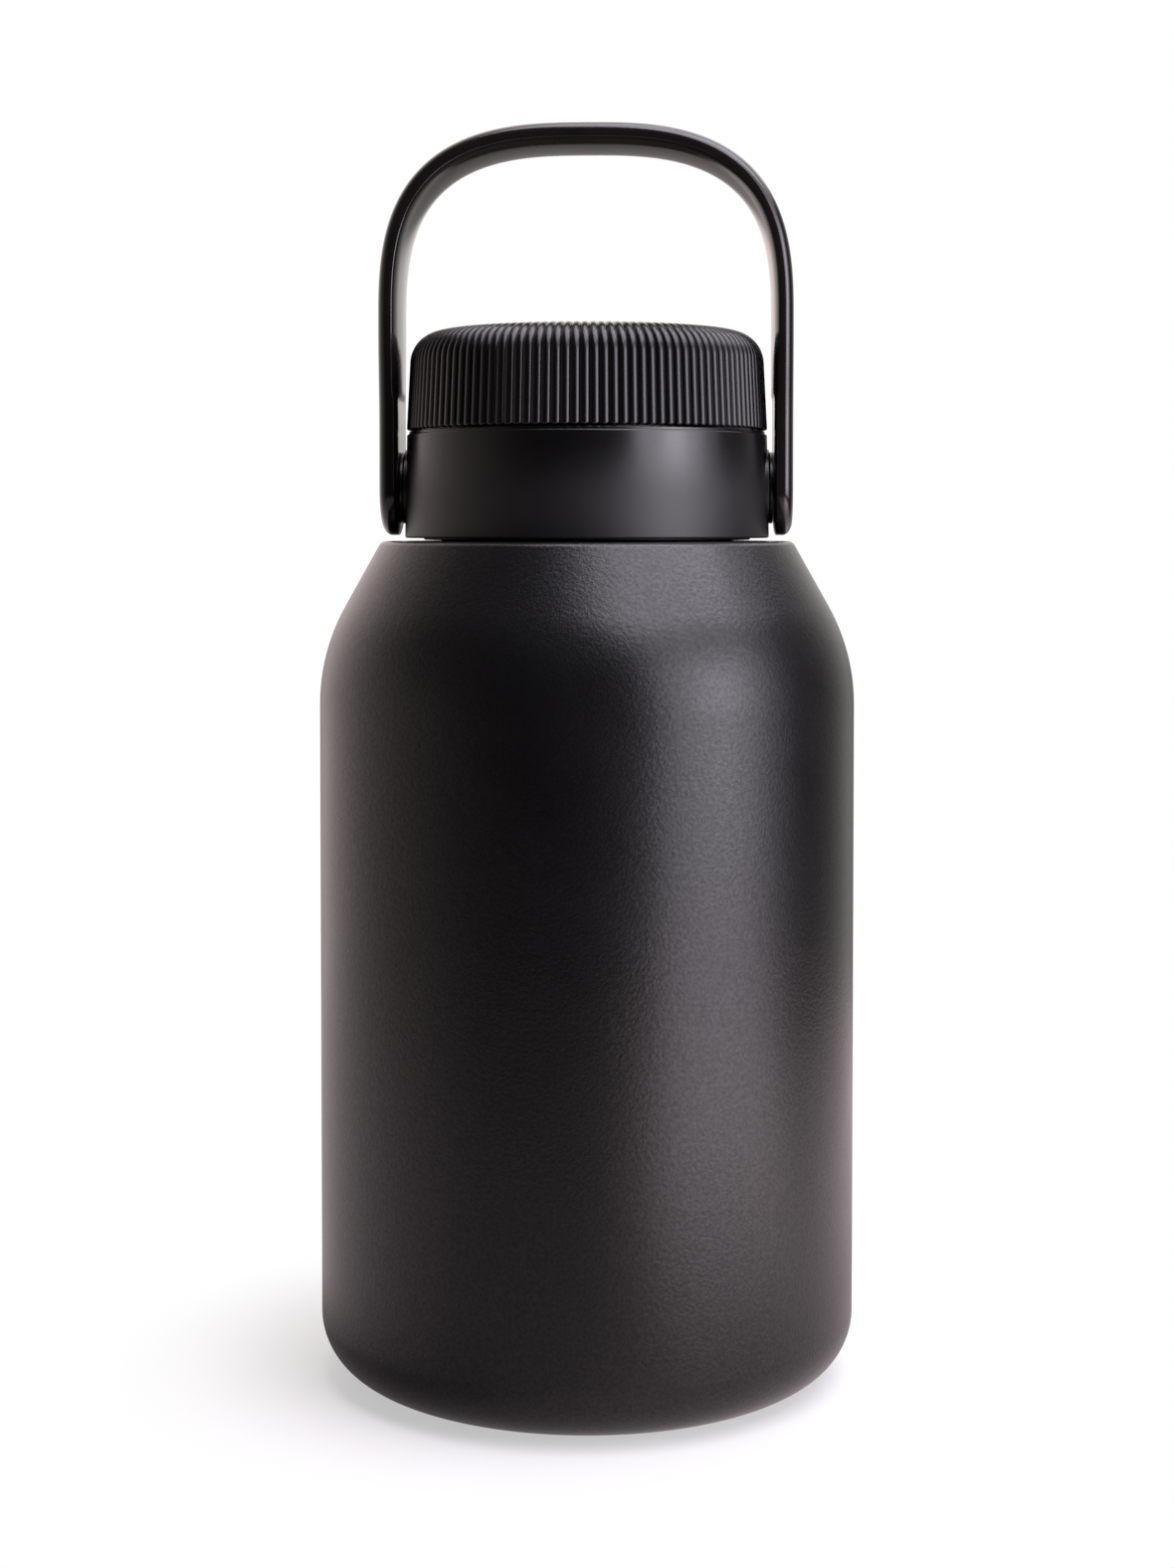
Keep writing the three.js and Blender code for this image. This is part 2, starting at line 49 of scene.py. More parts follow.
# Flask
BODY_RADIUS = 62.5
BOTTOM_CORNER = 14
BASE_Z = 0.4
BOTTOM_WELD_Z = 20
SHOULDER_Z = 168.65
SHOULDER_FILLET = 46.9
LEDGE_Z = 194.45
LEDGE_RADIUS = 48.1
LEDGE_FILLET = 2
OUTER_WALL = 0.8
LINER_WALL = 0.6
LINER_OFFSET = 3.9  # from the flask's outside to the liner's outside
WELD_GAP = 0.15  # between pieces that are welded together
LINER_WELD_GAP = 0.1
GAP = 0.3  # between pieces that lie against each other
ON_WALL = 0.1  # a point counts as on a thread's wall within this much of its radius
THREAD_STEP = 0.16  # between the points along a threaded wall
LINER_BOTTOM_Z = 10
LINER_WELD_Z = 24
LINER_CORNER = 12
NECK_RADIUS = 33.6
NECK_INNER_RADIUS = 31.6
RIM_Z = 211
PAINT_EDGE_RADIUS = 36.5
NECK_THREAD = {"lead": 5, "height": 1.4, "root": 2.0, "crest": 1.1, "turns": 2, "start_z": 198}

# Base
PAD_RADIUS = 41
GRIP_RINGS = range(6, 39, 4)  # radii
RECESS_Z = 2.2
PORT_DIMPLE_RADIUS = 4.2
PORT_DIMPLE_Z = 3.4
PORT_RADIUS = 1.2
FOIL_TOP_Z = 150

# Collar
COLLAR_BOTTOM_Z = 195.2
COLLAR_TOP_Z = 219.3
COLLAR_BOTTOM_RADIUS = 42.6
COLLAR_TOP_RADIUS = 42.1
COLLAR_LIP_Z = 219.9
COLLAR_LIP_RADIUS = 41.6
COLLAR_BORE = 38.5
COLLAR_FLANGE = 2.6
COLLAR_DULLNESS = 0.22  # added roughness at its foot
CORE_BORE = 35.5
INSERT_HOLE = 3.75
DECK_THICKNESS = 3.4
GASKET_THICKNESS = 2.2
CORE_THREAD = {
    "lead": 5,
    "height": -1.5,
    "root": 2.0,
    "crest": 1.1,
    "turns": 2,
    "start_z": 198,
    "phase": 0.5,
}
SPOUT_RADIUS = 28.5
SPOUT_BORE = 25.5
SPOUT_TOP_Z = 232.1
CAP_SEAL_RADII = (24.5, 30.2)
SEAL_GAP = 0.2
SPOUT_THREAD = {"lead": 4, "height": 1.5, "root": 1.7, "crest": 0.9, "turns": 2, "start_z": 222.5}

# Cap
CAP_BOTTOM_Z = 220.3
CAP_BOTTOM_RADIUS = 42.15
CAP_TOP_RADIUS = 40.96
CAP_EDGE_Z = 243.2
CAP_TOP_Z = 243.6
CAP_FILLET = 7.6
CAP_WALL = 2.3
CAP_LINER_BORE = 30.6
CAP_LINER_RADIUS = 32.8
CAP_LINER_DISC_Z = 234.6
CAP_LINER_DISC = 2
CAP_LINER_FLANGE_Z = 220.8
CAP_LINER_FLANGE = 1.4
CAP_THREAD = {
    "lead": 4,
    "height": -1.6,
    "root": 1.7,
    "crest": 0.9,
    "turns": 2,
    "start_z": 222.5,
    "phase": 0.5,
}
CAP_PANEL = (28.7, 29.2)  # radii of the low panel on top and of the step round it
RIBS = 120
RIB_DEPTH = 0.5
RIB_SWEEP = 49  # degrees that a rib's face turns through from its crest to its groove
RIB_FADE = (30.0, 35.5)  # radii between which the ribs rise on top
RIB_STEPS = 14  # points across one rib

# Handle
PIVOT_Z = 206.9
STRAP_OUTER_X = 47.95
STRAP_THICKNESS = 4.9
LOBE_THICKNESS = 4.4
LOBE_STEP = (227, 229)  # heights between which the arms grow thicker
STRAP_WIDTH = 25.5
STRAP_TOP_Z = 290.75
ARCH_Z = 245
ARCH_EXPONENT = 2.85
LOBE_RADIUS = 11.1
LOBE_TAPER = (14, 36)  # heights above the pivots between which the arms grow wider
CROWN_WIDTH = 3.4  # the rounding along the outer edges
CROWN_DROP = 2.3
INNER_BULGE = 0.85  # how far the inner face stands proud in its middle, above the lobes
CROWN_BULGE = 0.7  # added to it where the arch runs level
CROWN_SWELL = 0.9  # extra thickness there
INNER_EDGE_WIDTH = 4  # the rounding along the inner edges
INNER_EDGE_DROP = 0.8

# Pivots
BOSS_RADIUS = 9
BOSS_FACE = 42.5
WASHER_RADIUS = 8.35
WASHER_FACES = (42.6, 43.4)
PIVOT_HOLE = 2.8
COUNTERBORE_RADIUS = 4.6
COUNTERBORE_START = 45.15
PLUG_RADIUS = 4.45
PLUG_FACES = (46.75, 47.7)
INSERT_RADIUS = 3.6
INSERT_BORE = 2.25
INSERT_START = 38.8
INSERT_END = 42.3
INSERT_GROOVE = 0.5
KNURLS = 28
KNURL_DEPTH = 0.18
SCREW_THREAD_RADIUS = 2
SCREW_PITCH = 0.7
SCREW_DEPTH = 0.38
SCREW_STEP = 0.05  # between the points along it
SCREW_TIP = 39
SHOULDER_RADIUS = 2.5
SHOULDER_START = 42.4
HEAD_RADIUS = 4.2
HEAD_START = 45.3
HEAD_END = 46.6
HEX_RADIUS = 1.7
HEX_DEPTH = 0.8

# Vacuum parts
FOIL_THICKNESS = 0.3
GETTER_RADIUS = 5
GETTER_HEIGHT = 2.6
GETTER_X = 22


# ---- Outlines, as corners (radius, height, fillet) ----

def offset_corners(corners, distance):
    """Moves a run of corners to its left by a distance, keeping every stretch parallel."""
    normals = []
    for here, there in zip(corners, corners[1:]):
        step = Vector((there[0] - here[0], there[1] - here[1])).normalized()
        normals.append(Vector((-step.y, step.x)))
    moved = []
    for i, corner in enumerate(corners):
        before = normals[max(i - 1, 0)]
        after = normals[min(i, len(normals) - 1)]
        shift = (before + after) * (distance / (1 + before.dot(after)))
        turn = before.x * after.y - before.y * after.x
        fillet = corner[2] if len(corner) > 2 else 0
        if fillet:
            fillet = max(fillet - math.copysign(distance, turn), 0)
        moved.append((corner[0] + shift.x, corner[1] + shift.y, fillet))
    return moved


def sheet(corners, thickness):
    """The closed outline of a sheet that lies to the left of a run of corners."""
    return list(corners) + offset_corners(corners, thickness)[::-1]


def fillet_points(previous, corner, following, step_degrees):
    """Replaces one corner by an arc that is tangent to its two sides."""
    point = Vector(corner[:2])
    fillet = corner[2] if len(corner) > 2 else 0
    if not fillet:
        return [point]
    back = (Vector(previous[:2]) - point).normalized()
    ahead = (Vector(following[:2]) - point).normalized()
    half = math.acos(max(-1, min(1, back.dot(ahead)))) / 2
    sweep = math.pi - 2 * half
    centre = point + (back + ahead).normalized() * (fillet / math.sin(half))
    spoke = point + back * (fillet / math.tan(half)) - centre
    side = 1 if back.x * ahead.y - back.y * ahead.x < 0 else -1
    steps = max(3, math.ceil(math.degrees(sweep) / step_degrees))
    arc = []
    for i in range(steps + 1):
        angle = side * sweep * i / steps
        arc.append(centre + Matrix.Rotation(angle, 2) @ spoke)
    return arc


def outline_points(corners, step_degrees=7.5, fine=None):
    """Corners to points. fine is (lowest z, highest z, step): stretches there are divided."""
    points = []
    for i, corner in enumerate(corners):
        points += fillet_points(corners[i - 1], corner, corners[(i + 1) % len(corners)], step_degrees)
    closed = corners[0][0] > 0
    if fine is None:
        return points, closed
    low, high, step = fine
    divided = []
    for i, here in enumerate(points):
        divided.append(here)
        if i + 1 == len(points) and not closed:
            continue
        there = points[(i + 1) % len(points)]
        if min(here.y, there.y) >= low - 1e-6 and max(here.y, there.y) <= high + 1e-6:
            pieces = max(1, round((there - here).length / step))
            divided += [here.lerp(there, k / pieces) for k in range(1, pieces)]
    return divided, closed


# ---- Meshes ----

def smooth_shading(mesh):
    """Smooth everywhere except at edges that turn by more than SHARP_DEGREES."""
    mesh.polygons.foreach_set("use_smooth", [True] * len(mesh.polygons))
    mesh.set_sharp_from_angle(angle=math.radians(SHARP_DEGREES))


def mesh_object(name, vertices, faces):
    """A smooth-shaded object from points in millimetres."""
    mesh = bpy.data.meshes.new(name)
    mesh.from_pydata((np.asarray(vertices) * MM).tolist(), [], faces)
    smooth_shading(mesh)
    mesh.update()
    made = bpy.data.objects.new(name, mesh)
    bpy.context.scene.collection.objects.link(made)
    return made


def lathe(name, corners, segments=128, step_degrees=7.5, fine=None, relief=None):
    """Turns an outline about Z. relief(radius, z, angle) moves the surface out along its normal."""
    points, closed = outline_points(corners, step_degrees, fine)
    flat = np.array([tuple(p) for p in points])
    count = len(flat)
    if closed:
        tangent = np.roll(flat, -1, axis=0) - np.roll(flat, 1, axis=0)
    else:
        tangent = np.gradient(flat, axis=0)
    tangent /= np.linalg.norm(tangent, axis=1)[:, None]
    angles = np.arange(segments) * 2 * math.pi / segments
    radius = np.repeat(flat[None, :, 0], segments, axis=0)
    height = np.repeat(flat[None, :, 1], segments, axis=0)
    if relief is not None:
        lift = relief(radius, height, angles[:, None])
        radius = radius + lift * tangent[None, :, 1]
        height = height - lift * tangent[None, :, 0]
    x = radius * np.cos(angles)[:, None]
    y = radius * np.sin(angles)[:, None]
    grid = np.stack([x, y, height], axis=2)
    inner = slice(0, count) if closed else slice(1, count - 1)
    rows = grid[:, inner].reshape(-1, 3)
    width = grid[:, inner].shape[1]
    faces = []
    for i in range(segments):
        a = i * width
        b = ((i + 1) % segments) * width
        for j in range(width - 1):
            faces.append((a + j, b + j, b + j + 1, a + j + 1))
        if closed:
            faces.append((a + width - 1, b + width - 1, b, a))
        else:
            faces.append((len(rows), b, a))
            faces.append((len(rows) + 1, a + width - 1, b + width - 1))
    if not closed:
        poles = [(0, 0, flat[0, 1]), (0, 0, flat[-1, 1])]
        rows = np.vstack([rows, poles])
    return mesh_object(name, rows, faces)


def smooth(t):
    t = np.clip(t, 0, 1)
    return t * t * (3 - 2 * t)


def thread_relief(thread, wall):
    """Height of a helical ridge on the wall that has this radius."""
    def relief(radius, z, angle):
        start = thread["start_z"] - thread["lead"] * thread.get("phase", 0)
        along = z - start - thread["lead"] * angle / (2 * math.pi)
        across = (along + thread["lead"] / 2) % thread["lead"] - thread["lead"] / 2
        turn = (z - across - thread["start_z"]) / thread["lead"]
        run_out = smooth(turn / 0.12) * smooth((thread["turns"] - turn) / 0.12)
        flank = (thread["root"] - thread["crest"]) / 2
        ridge = smooth((thread["root"] / 2 - abs(across)) / flank)
        on_wall = abs(radius - wall) < ON_WALL
        return abs(thread["height"]) * ridge * run_out * on_wall
    return relief


def along_x(thing, side):
    """Lays a piece turned about Z along X, outwards on one side, at the height of the pivots."""
    turn = Matrix.Rotation(side * math.pi / 2, 4, "Y")
    thing.data.transform(Matrix.Translation((0, 0, PIVOT_Z * MM)) @ turn)
    return thing


def boolean(target, tool, operation):
    """Cuts or joins with a tool object, which is used up."""
    modifier = target.modifiers.new("cut", "BOOLEAN")
    modifier.operation = operation
    modifier.solver = "EXACT"
    modifier.object = tool
    depsgraph = bpy.context.evaluated_depsgraph_get()
    result = bpy.data.meshes.new_from_object(target.evaluated_get(depsgraph))
    target.modifiers.clear()
    target.data = result
    smooth_shading(result)
    bpy.data.objects.remove(tool)


def place(thing, body, node, slot, *materials):
    """Gives a piece its materials and its body, and hides the CAD node that it stands for. slot, the finish,
    is not used.
    """
    thing.data.materials.clear()
    for material in materials:
        thing.data.materials.append(material)
    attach(thing, body)
    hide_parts(node)


# ---- Materials ----

def new_material(name, colour, roughness, metallic=0.0):
    material = bpy.data.materials.new(name)
    material.use_nodes = True
    shader = material.node_tree.nodes["Principled BSDF"]
    shader.inputs["Base Color"].default_value = (*colour, 1)
    shader.inputs["Roughness"].default_value = roughness
    shader.inputs["Metallic"].default_value = metallic
    return material, shader


def add_node(material, kind):
    return material.node_tree.nodes.new(kind)


def object_coordinates(material, stretch=(1, 1, 1)):
    source = add_node(material, "ShaderNodeTexCoord")
    mapping = add_node(material, "ShaderNodeMapping")
    mapping.inputs["Scale"].default_value = stretch
    material.node_tree.links.new(source.outputs["Object"], mapping.inputs["Vector"])
    return mapping.outputs["Vector"]


def noise(material, vector, size_mm, detail=2.0, roughness=0.5):
    """Noise whose grains are about size_mm across."""
    node = add_node(material, "ShaderNodeTexNoise")
    node.inputs["Scale"].default_value = 1000 / size_mm
    node.inputs["Detail"].default_value = detail
    node.inputs["Roughness"].default_value = roughness
    material.node_tree.links.new(vector, node.inputs["Vector"])
    return node.outputs["Fac"]


def spread(material, value, low, high):
    """Maps noise, which stays near one half, to low..high."""
    node = add_node(material, "ShaderNodeMapRange")
    node.inputs["From Min"].default_value = 0.3
    node.inputs["From Max"].default_value = 0.7
    node.inputs["To Min"].default_value = low
    node.inputs["To Max"].default_value = high
    material.node_tree.links.new(value, node.inputs["Value"])
    return node.outputs["Result"]


def bump(material, shader, height, depth_mm, previous=None):
    node = add_node(material, "ShaderNodeBump")
    node.inputs["Strength"].default_value = 1.0
    node.inputs["Distance"].default_value = depth_mm * MM
    links = material.node_tree.links
    links.new(height, node.inputs["Height"])
    if previous is not None:
        links.new(previous, node.inputs["Normal"])
    links.new(node.outputs["Normal"], shader.inputs["Normal"])
    return node.outputs["Normal"]


def tint(material, shader, value, dark, light):
    """Colour variation between two close shades."""
    ramp = add_node(material, "ShaderNodeValToRGB")
    ramp.color_ramp.elements[0].position = 0.3
    ramp.color_ramp.elements[0].color = (*dark, 1)
    ramp.color_ramp.elements[1].position = 0.7
    ramp.color_ramp.elements[1].color = (*light, 1)
    links = material.node_tree.links
    links.new(value, ramp.inputs["Fac"])
    links.new(ramp.outputs["Color"], shader.inputs["Base Color"])


def powder_coat():
    """Matte black powder coat: a fine pebbled grain over a long, faint orange peel."""
    material, shader = new_material("powder_coat", (0.004, 0.0038, 0.0041), 0.27)
    at = object_coordinates(material)
    grain = noise(material, at, 0.8, 2, 0.6)
    peel = noise(material, at, 2.4, 1)
    cloud = noise(material, at, 14, 3, 0.6)
    tint(material, shader, cloud, (0.0035, 0.0033, 0.0036), (0.0046, 0.0044, 0.0048))
    links = material.node_tree.links
    links.new(spread(material, cloud, 0.29, 0.315), shader.inputs["Roughness"])
    links.new(spread(material, grain, 0.4, 0.6), shader.inputs["Specular IOR Level"])
    peeled = bump(material, shader, peel, 0.012)
    bump(material, shader, grain, 0.06, peeled)
    return material


def moulded(name, colour, roughness, grain_mm, depth_mm, ior=1.58):
    """Black moulded plastic with a fine spark-eroded texture."""
    material, shader = new_material(name, colour, roughness)
    shader.inputs["IOR"].default_value = ior
    at = object_coordinates(material)
    grain = noise(material, at, grain_mm, 2)
    cloud = noise(material, at, 9, 3, 0.6)
    darker = tuple(c * 0.88 for c in colour)
    lighter = tuple(c * 1.14 for c in colour)
    tint(material, shader, cloud, darker, lighter)
    links = material.node_tree.links
    links.new(spread(material, cloud, roughness - 0.01, roughness + 0.01), shader.inputs["Roughness"])
    bump(material, shader, grain, depth_mm)
    return material


def collar_plastic():
    """Moulded plastic that is polished below the cap and duller towards the collar's foot."""
    material = moulded("collar_plastic", (0.004, 0.0038, 0.004), 0.25, 0.6, 0.0006)
    links = material.node_tree.links
    shader = material.node_tree.nodes["Principled BSDF"]
    patches = shader.inputs["Roughness"].links[0].from_socket
    split = add_node(material, "ShaderNodeSeparateXYZ")
    links.new(object_coordinates(material), split.inputs[0])
    height = add_node(material, "ShaderNodeMapRange")
    height.interpolation_type = "SMOOTHSTEP"
    height.inputs["From Min"].default_value = (COLLAR_BOTTOM_Z + 8) * MM
    height.inputs["From Max"].default_value = (COLLAR_TOP_Z - 1) * MM
    height.inputs["To Min"].default_value = COLLAR_DULLNESS
    height.inputs["To Max"].default_value = 0
    links.new(split.outputs["Z"], height.inputs["Value"])
    total = add_node(material, "ShaderNodeMath")
    links.new(patches, total.inputs[0])
    links.new(height.outputs["Result"], total.inputs[1])
    links.new(total.outputs[0], shader.inputs["Roughness"])
    return material


def brushed(name, colour, roughness, stretch, streak_mm=0.5, depth_mm=0.004):
    """Metal with fine lines. stretch sets the direction that the lines run in."""
    material, shader = new_material(name, colour, roughness, 1.0)
    at = object_coordinates(material, stretch)
    streaks = noise(material, at, streak_mm, 3, 0.6)
    plain = object_coordinates(material)
    cloud = noise(material, plain, 11, 2)
    darker = tuple(c * 0.9 for c in colour)
    lighter = tuple(min(c * 1.08, 1) for c in colour)
    tint(material, shader, cloud, darker, lighter)
    links = material.node_tree.links
    links.new(spread(material, streaks, roughness - 0.07, roughness + 0.09), shader.inputs["Roughness"])
    bump(material, shader, streaks, depth_mm)
    return material


def rubbery(name, colour, roughness, subsurface=0.0):
    material, shader = new_material(name, colour, roughness)
    shader.inputs["Subsurface Weight"].default_value = subsurface
    shader.inputs["Subsurface Radius"].default_value = (0.002, 0.002, 0.002)
    at = object_coordinates(material)
    fine = noise(material, at, 0.35, 2)
    cloud = noise(material, at, 6, 2)
    darker = tuple(c * 0.92 for c in colour)
    lighter = tuple(min(c * 1.06, 1) for c in colour)
    tint(material, shader, cloud, darker, lighter)
    bump(material, shader, fine, 0.006)
    return material


def foam():
    material, shader = new_material("foam", (0.85, 0.83, 0.77), 0.9)
    at = object_coordinates(material)
    cells = add_node(material, "ShaderNodeTexVoronoi")
    cells.inputs["Scale"].default_value = 1000 / 0.7
    material.node_tree.links.new(at, cells.inputs["Vector"])
    cloud = noise(material, at, 5, 2)
    tint(material, shader, cloud, (0.80, 0.78, 0.71), (0.88, 0.86, 0.80))
    bump(material, shader, cells.outputs["Distance"], 0.12)
    return material


MATERIALS = {
    "coat": powder_coat(),
    "steel": brushed("bare_steel", (0.62, 0.61, 0.59), 0.3, (0.05, 0.05, 1)),
    "collar": collar_plastic(),
    "cap": moulded("cap_plastic", (0.004, 0.0039, 0.0041), 0.22, 0.6, 0.001, 1.48),
    "strap": moulded("strap_plastic", (0.0095, 0.0077, 0.0074), 0.17, 0.6, 0.0003),
    "pivot": moulded("pivot_plastic", (0.006, 0.006, 0.006), 0.3, 0.4, 0.002),
    "pad": rubbery("base_silicone", (0.035, 0.035, 0.037), 0.7),
    "seal": rubbery("seal_silicone", (0.72, 0.71, 0.67), 0.45, 0.4),
    "copper": brushed("copper_foil", (0.80, 0.42, 0.27), 0.28, (1, 1, 0.1), 3, 0.03),
    "solder": brushed("solder", (0.40, 0.41, 0.42), 0.5, (1, 1, 1), 0.8, 0.03),
    "brass": brushed("brass", (0.75, 0.56, 0.26), 0.3, (1, 0.1, 0.1), 0.3, 0.01),
    "foam": foam(),
}


# ---- Camera, floor and light ----

CAMERA_DISTANCE = 0.59375
CAMERA_AZIMUTH = math.radians(2.3)
CAMERA_HEIGHT = 0.19875
CAMERA_PITCH = math.radians(2.0)
LENS = 58.02
SHIFT_Y = -0.1104

FLOOR_RADIUS = 500
FLOOR_Z = -0.02  # millimetres, just under the pad
FLOOR_WHITE = (0.85, 0.84, 0.83)  # where the shadow shows
# Radiance of the floor that the growler reflects, first at its left and then at its right. This is painted
# light and shade on a glowing floor: darker at the left, with a painted shadow at the foot, and lighter at
# the right towards the key light.
FLOOR_FOOT = (0.2, 0.85)
FLOOR_NEAR = (0.38, 1.15)
# Painted light added to the glowing floor behind the growler, at the left.
FLOOR_LEFT_BACK = 0.5  # added to it behind the growler, at the left
# Painted sheen: a bright strip painted on the floor below the key light, where the key would reflect.
FLOOR_PAINTED_SHEEN = 2.6  # radiance of the strip below the key light
FLOOR_TINT = (1, 0.86, 0.89)
SHADOW_REACH = (66, 120)  # millimetres from the axis
SHADOW_SHARE = 0.5
# Metres from the axis, between which one zone of the floor becomes the next
FOOT_TO_NEAR = (0.07, 0.13)
NEAR_TO_FAR = (0.25, 0.8)
WALL_AZIMUTH = -168
WALL_RADIANCE = 1.23
WALL_POWER = 2.2
WALL_HEIGHT = (-0.1, 0.45, 0.95, 1.35)  # sines of two elevations, and the wall's share at each
WALL_GAP = 0.7  # how much of the wall is missing straight behind the growler, near the floor
WALL_GAP_HEIGHT = (-0.03, 0.06)  # sines of the elevations between which the gap closes
# Painted shadow of the growler on the glowing floor, straight behind it.
FLOOR_SHADOW_BEHIND = 0.96  # how much of the floor's light is missing straight behind the growler
WALL_WARM = (1, 0.86, 0.84)  # at the left
WALL_COOL = (1, 0.97, 0.93)  # at the right
FILL_AZIMUTH = -102
FILL_RADIANCE = 0.45
FILL_POWER = 3
KEY_COLOUR = (0.93, 0.885, 1.0)
# name, azimuth, elevation, width and height in metres, radiance
SOFTBOXES = (
    ("key_low", 55, 7, 1.00, 0.83, 3.7),
    ("key_core", 58, 9, 0.30, 0.50, 3.8),
    ("key_side", 84, 8, 0.30, 0.83, 1.0),
    ("key_middle", 55, 34, 1.00, 0.36, 2.2),
    ("key_high", 56, 60, 1.15, 0.70, 4.8),
    ("overhead", 50, 86, 0.80, 0.60, 4.2),
    ("right_high", 118, 52, 1.30, 0.80, 1.6),
)
SOFTBOX_DISTANCE = 1.2


def make_camera():
    data = bpy.data.cameras.new("camera")
    data.lens = LENS
    data.sensor_width = 36
    data.shift_y = SHIFT_Y
    camera = bpy.data.objects.new("camera", data)
    bpy.context.scene.collection.objects.link(camera)
    camera.location = (
        CAMERA_DISTANCE * math.sin(CAMERA_AZIMUTH),
        -CAMERA_DISTANCE * math.cos(CAMERA_AZIMUTH),
        CAMERA_HEIGHT,
    )
    camera.rotation_euler = (math.pi / 2 - CAMERA_PITCH, 0, CAMERA_AZIMUTH)
    bpy.context.scene.camera = camera


class Graph:
    """A node tree that is put together from a few kinds of step."""

    def __init__(self, tree):
        self.tree = tree
        tree.nodes.clear()

    def add(self, kind, **settings):
        node = self.tree.nodes.new(kind)
        for key, value in settings.items():
            setattr(node, key, value)
        return node

    def feed(self, socket, value):
        """A number or a vector becomes the socket's value, and an output is linked to it."""
        if isinstance(value, (int, float, tuple)):
            socket.default_value = value
        else:
            self.tree.links.new(value, socket)

    def math(self, operation, *values):
        node = self.add("ShaderNodeMath", operation=operation)
        for socket, value in zip(node.inputs, values):
            self.feed(socket, value)
        return node.outputs[0]

    def ramp(self, value, low, high, first, last):
        node = self.add("ShaderNodeMapRange", interpolation_type="SMOOTHSTEP")
        for name, number in zip(("From Min", "From Max", "To Min", "To Max"), (low, high, first, last)):
            self.feed(node.inputs[name], number)
        self.feed(node.inputs["Value"], value)
        return node.outputs["Result"]

    def mix(self, factor, first, second):
        """Shaders, first where the factor is 0 and second where it is 1."""
        node = self.add("ShaderNodeMixShader")
        for socket, value in zip(node.inputs, (factor, first, second)):
            self.feed(socket, value)
        return node.outputs[0]

    def glow(self, kind, colour, strength):
        node = self.add(kind)
        self.feed(node.inputs["Color"], colour)
        self.feed(node.inputs["Strength"], strength)
        return node.outputs[0]

    def split(self, vector):
        node = self.add("ShaderNodeSeparateXYZ")
        self.feed(node.inputs[0], vector)
        return node.outputs

    def level_heading(self, vector):
        """The direction of a vector seen from above, as a vector of length one."""
        parts = self.split(vector)
        level = self.add("ShaderNodeCombineXYZ")
        self.feed(level.inputs["X"], parts["X"])
        self.feed(level.inputs["Y"], parts["Y"])
        heading = self.add("ShaderNodeVectorMath", operation="NORMALIZE")
        self.feed(heading.inputs[0], level.outputs[0])
        return heading.outputs[0]

    def towards(self, heading, azimuth):
        """Cosine of the angle between a level heading and an azimuth in degrees."""
        node = self.add("ShaderNodeVectorMath", operation="DOT_PRODUCT")
        turn = math.radians(azimuth)
        self.feed(node.inputs[0], heading)
        self.feed(node.inputs[1], (math.sin(turn), -math.cos(turn), 0))
        return node.outputs["Value"]

    def lobe(self, heading, azimuth, power, peak):
        """A value that falls smoothly from its peak at one azimuth to nothing a quarter turn away."""
        share = self.math("POWER", self.math("MAXIMUM", self.towards(heading, azimuth), 0), power)
        return self.math("MULTIPLY", share, peak)

    def camera_ray(self):
        return self.add("ShaderNodeLightPath").outputs["Is Camera Ray"]


def dark_sector_behind(graph, heading, depth):
    """Factor that darkens a sector straight behind the growler. On the floor it is a painted shadow; in the
    world it dims the wall's light. depth is the share that is missing.
    """
    sector = graph.ramp(graph.towards(heading, 180), 0.88, 0.97, 0, 1)
    return graph.math("SUBTRACT", 1, graph.math("MULTIPLY", sector, depth))


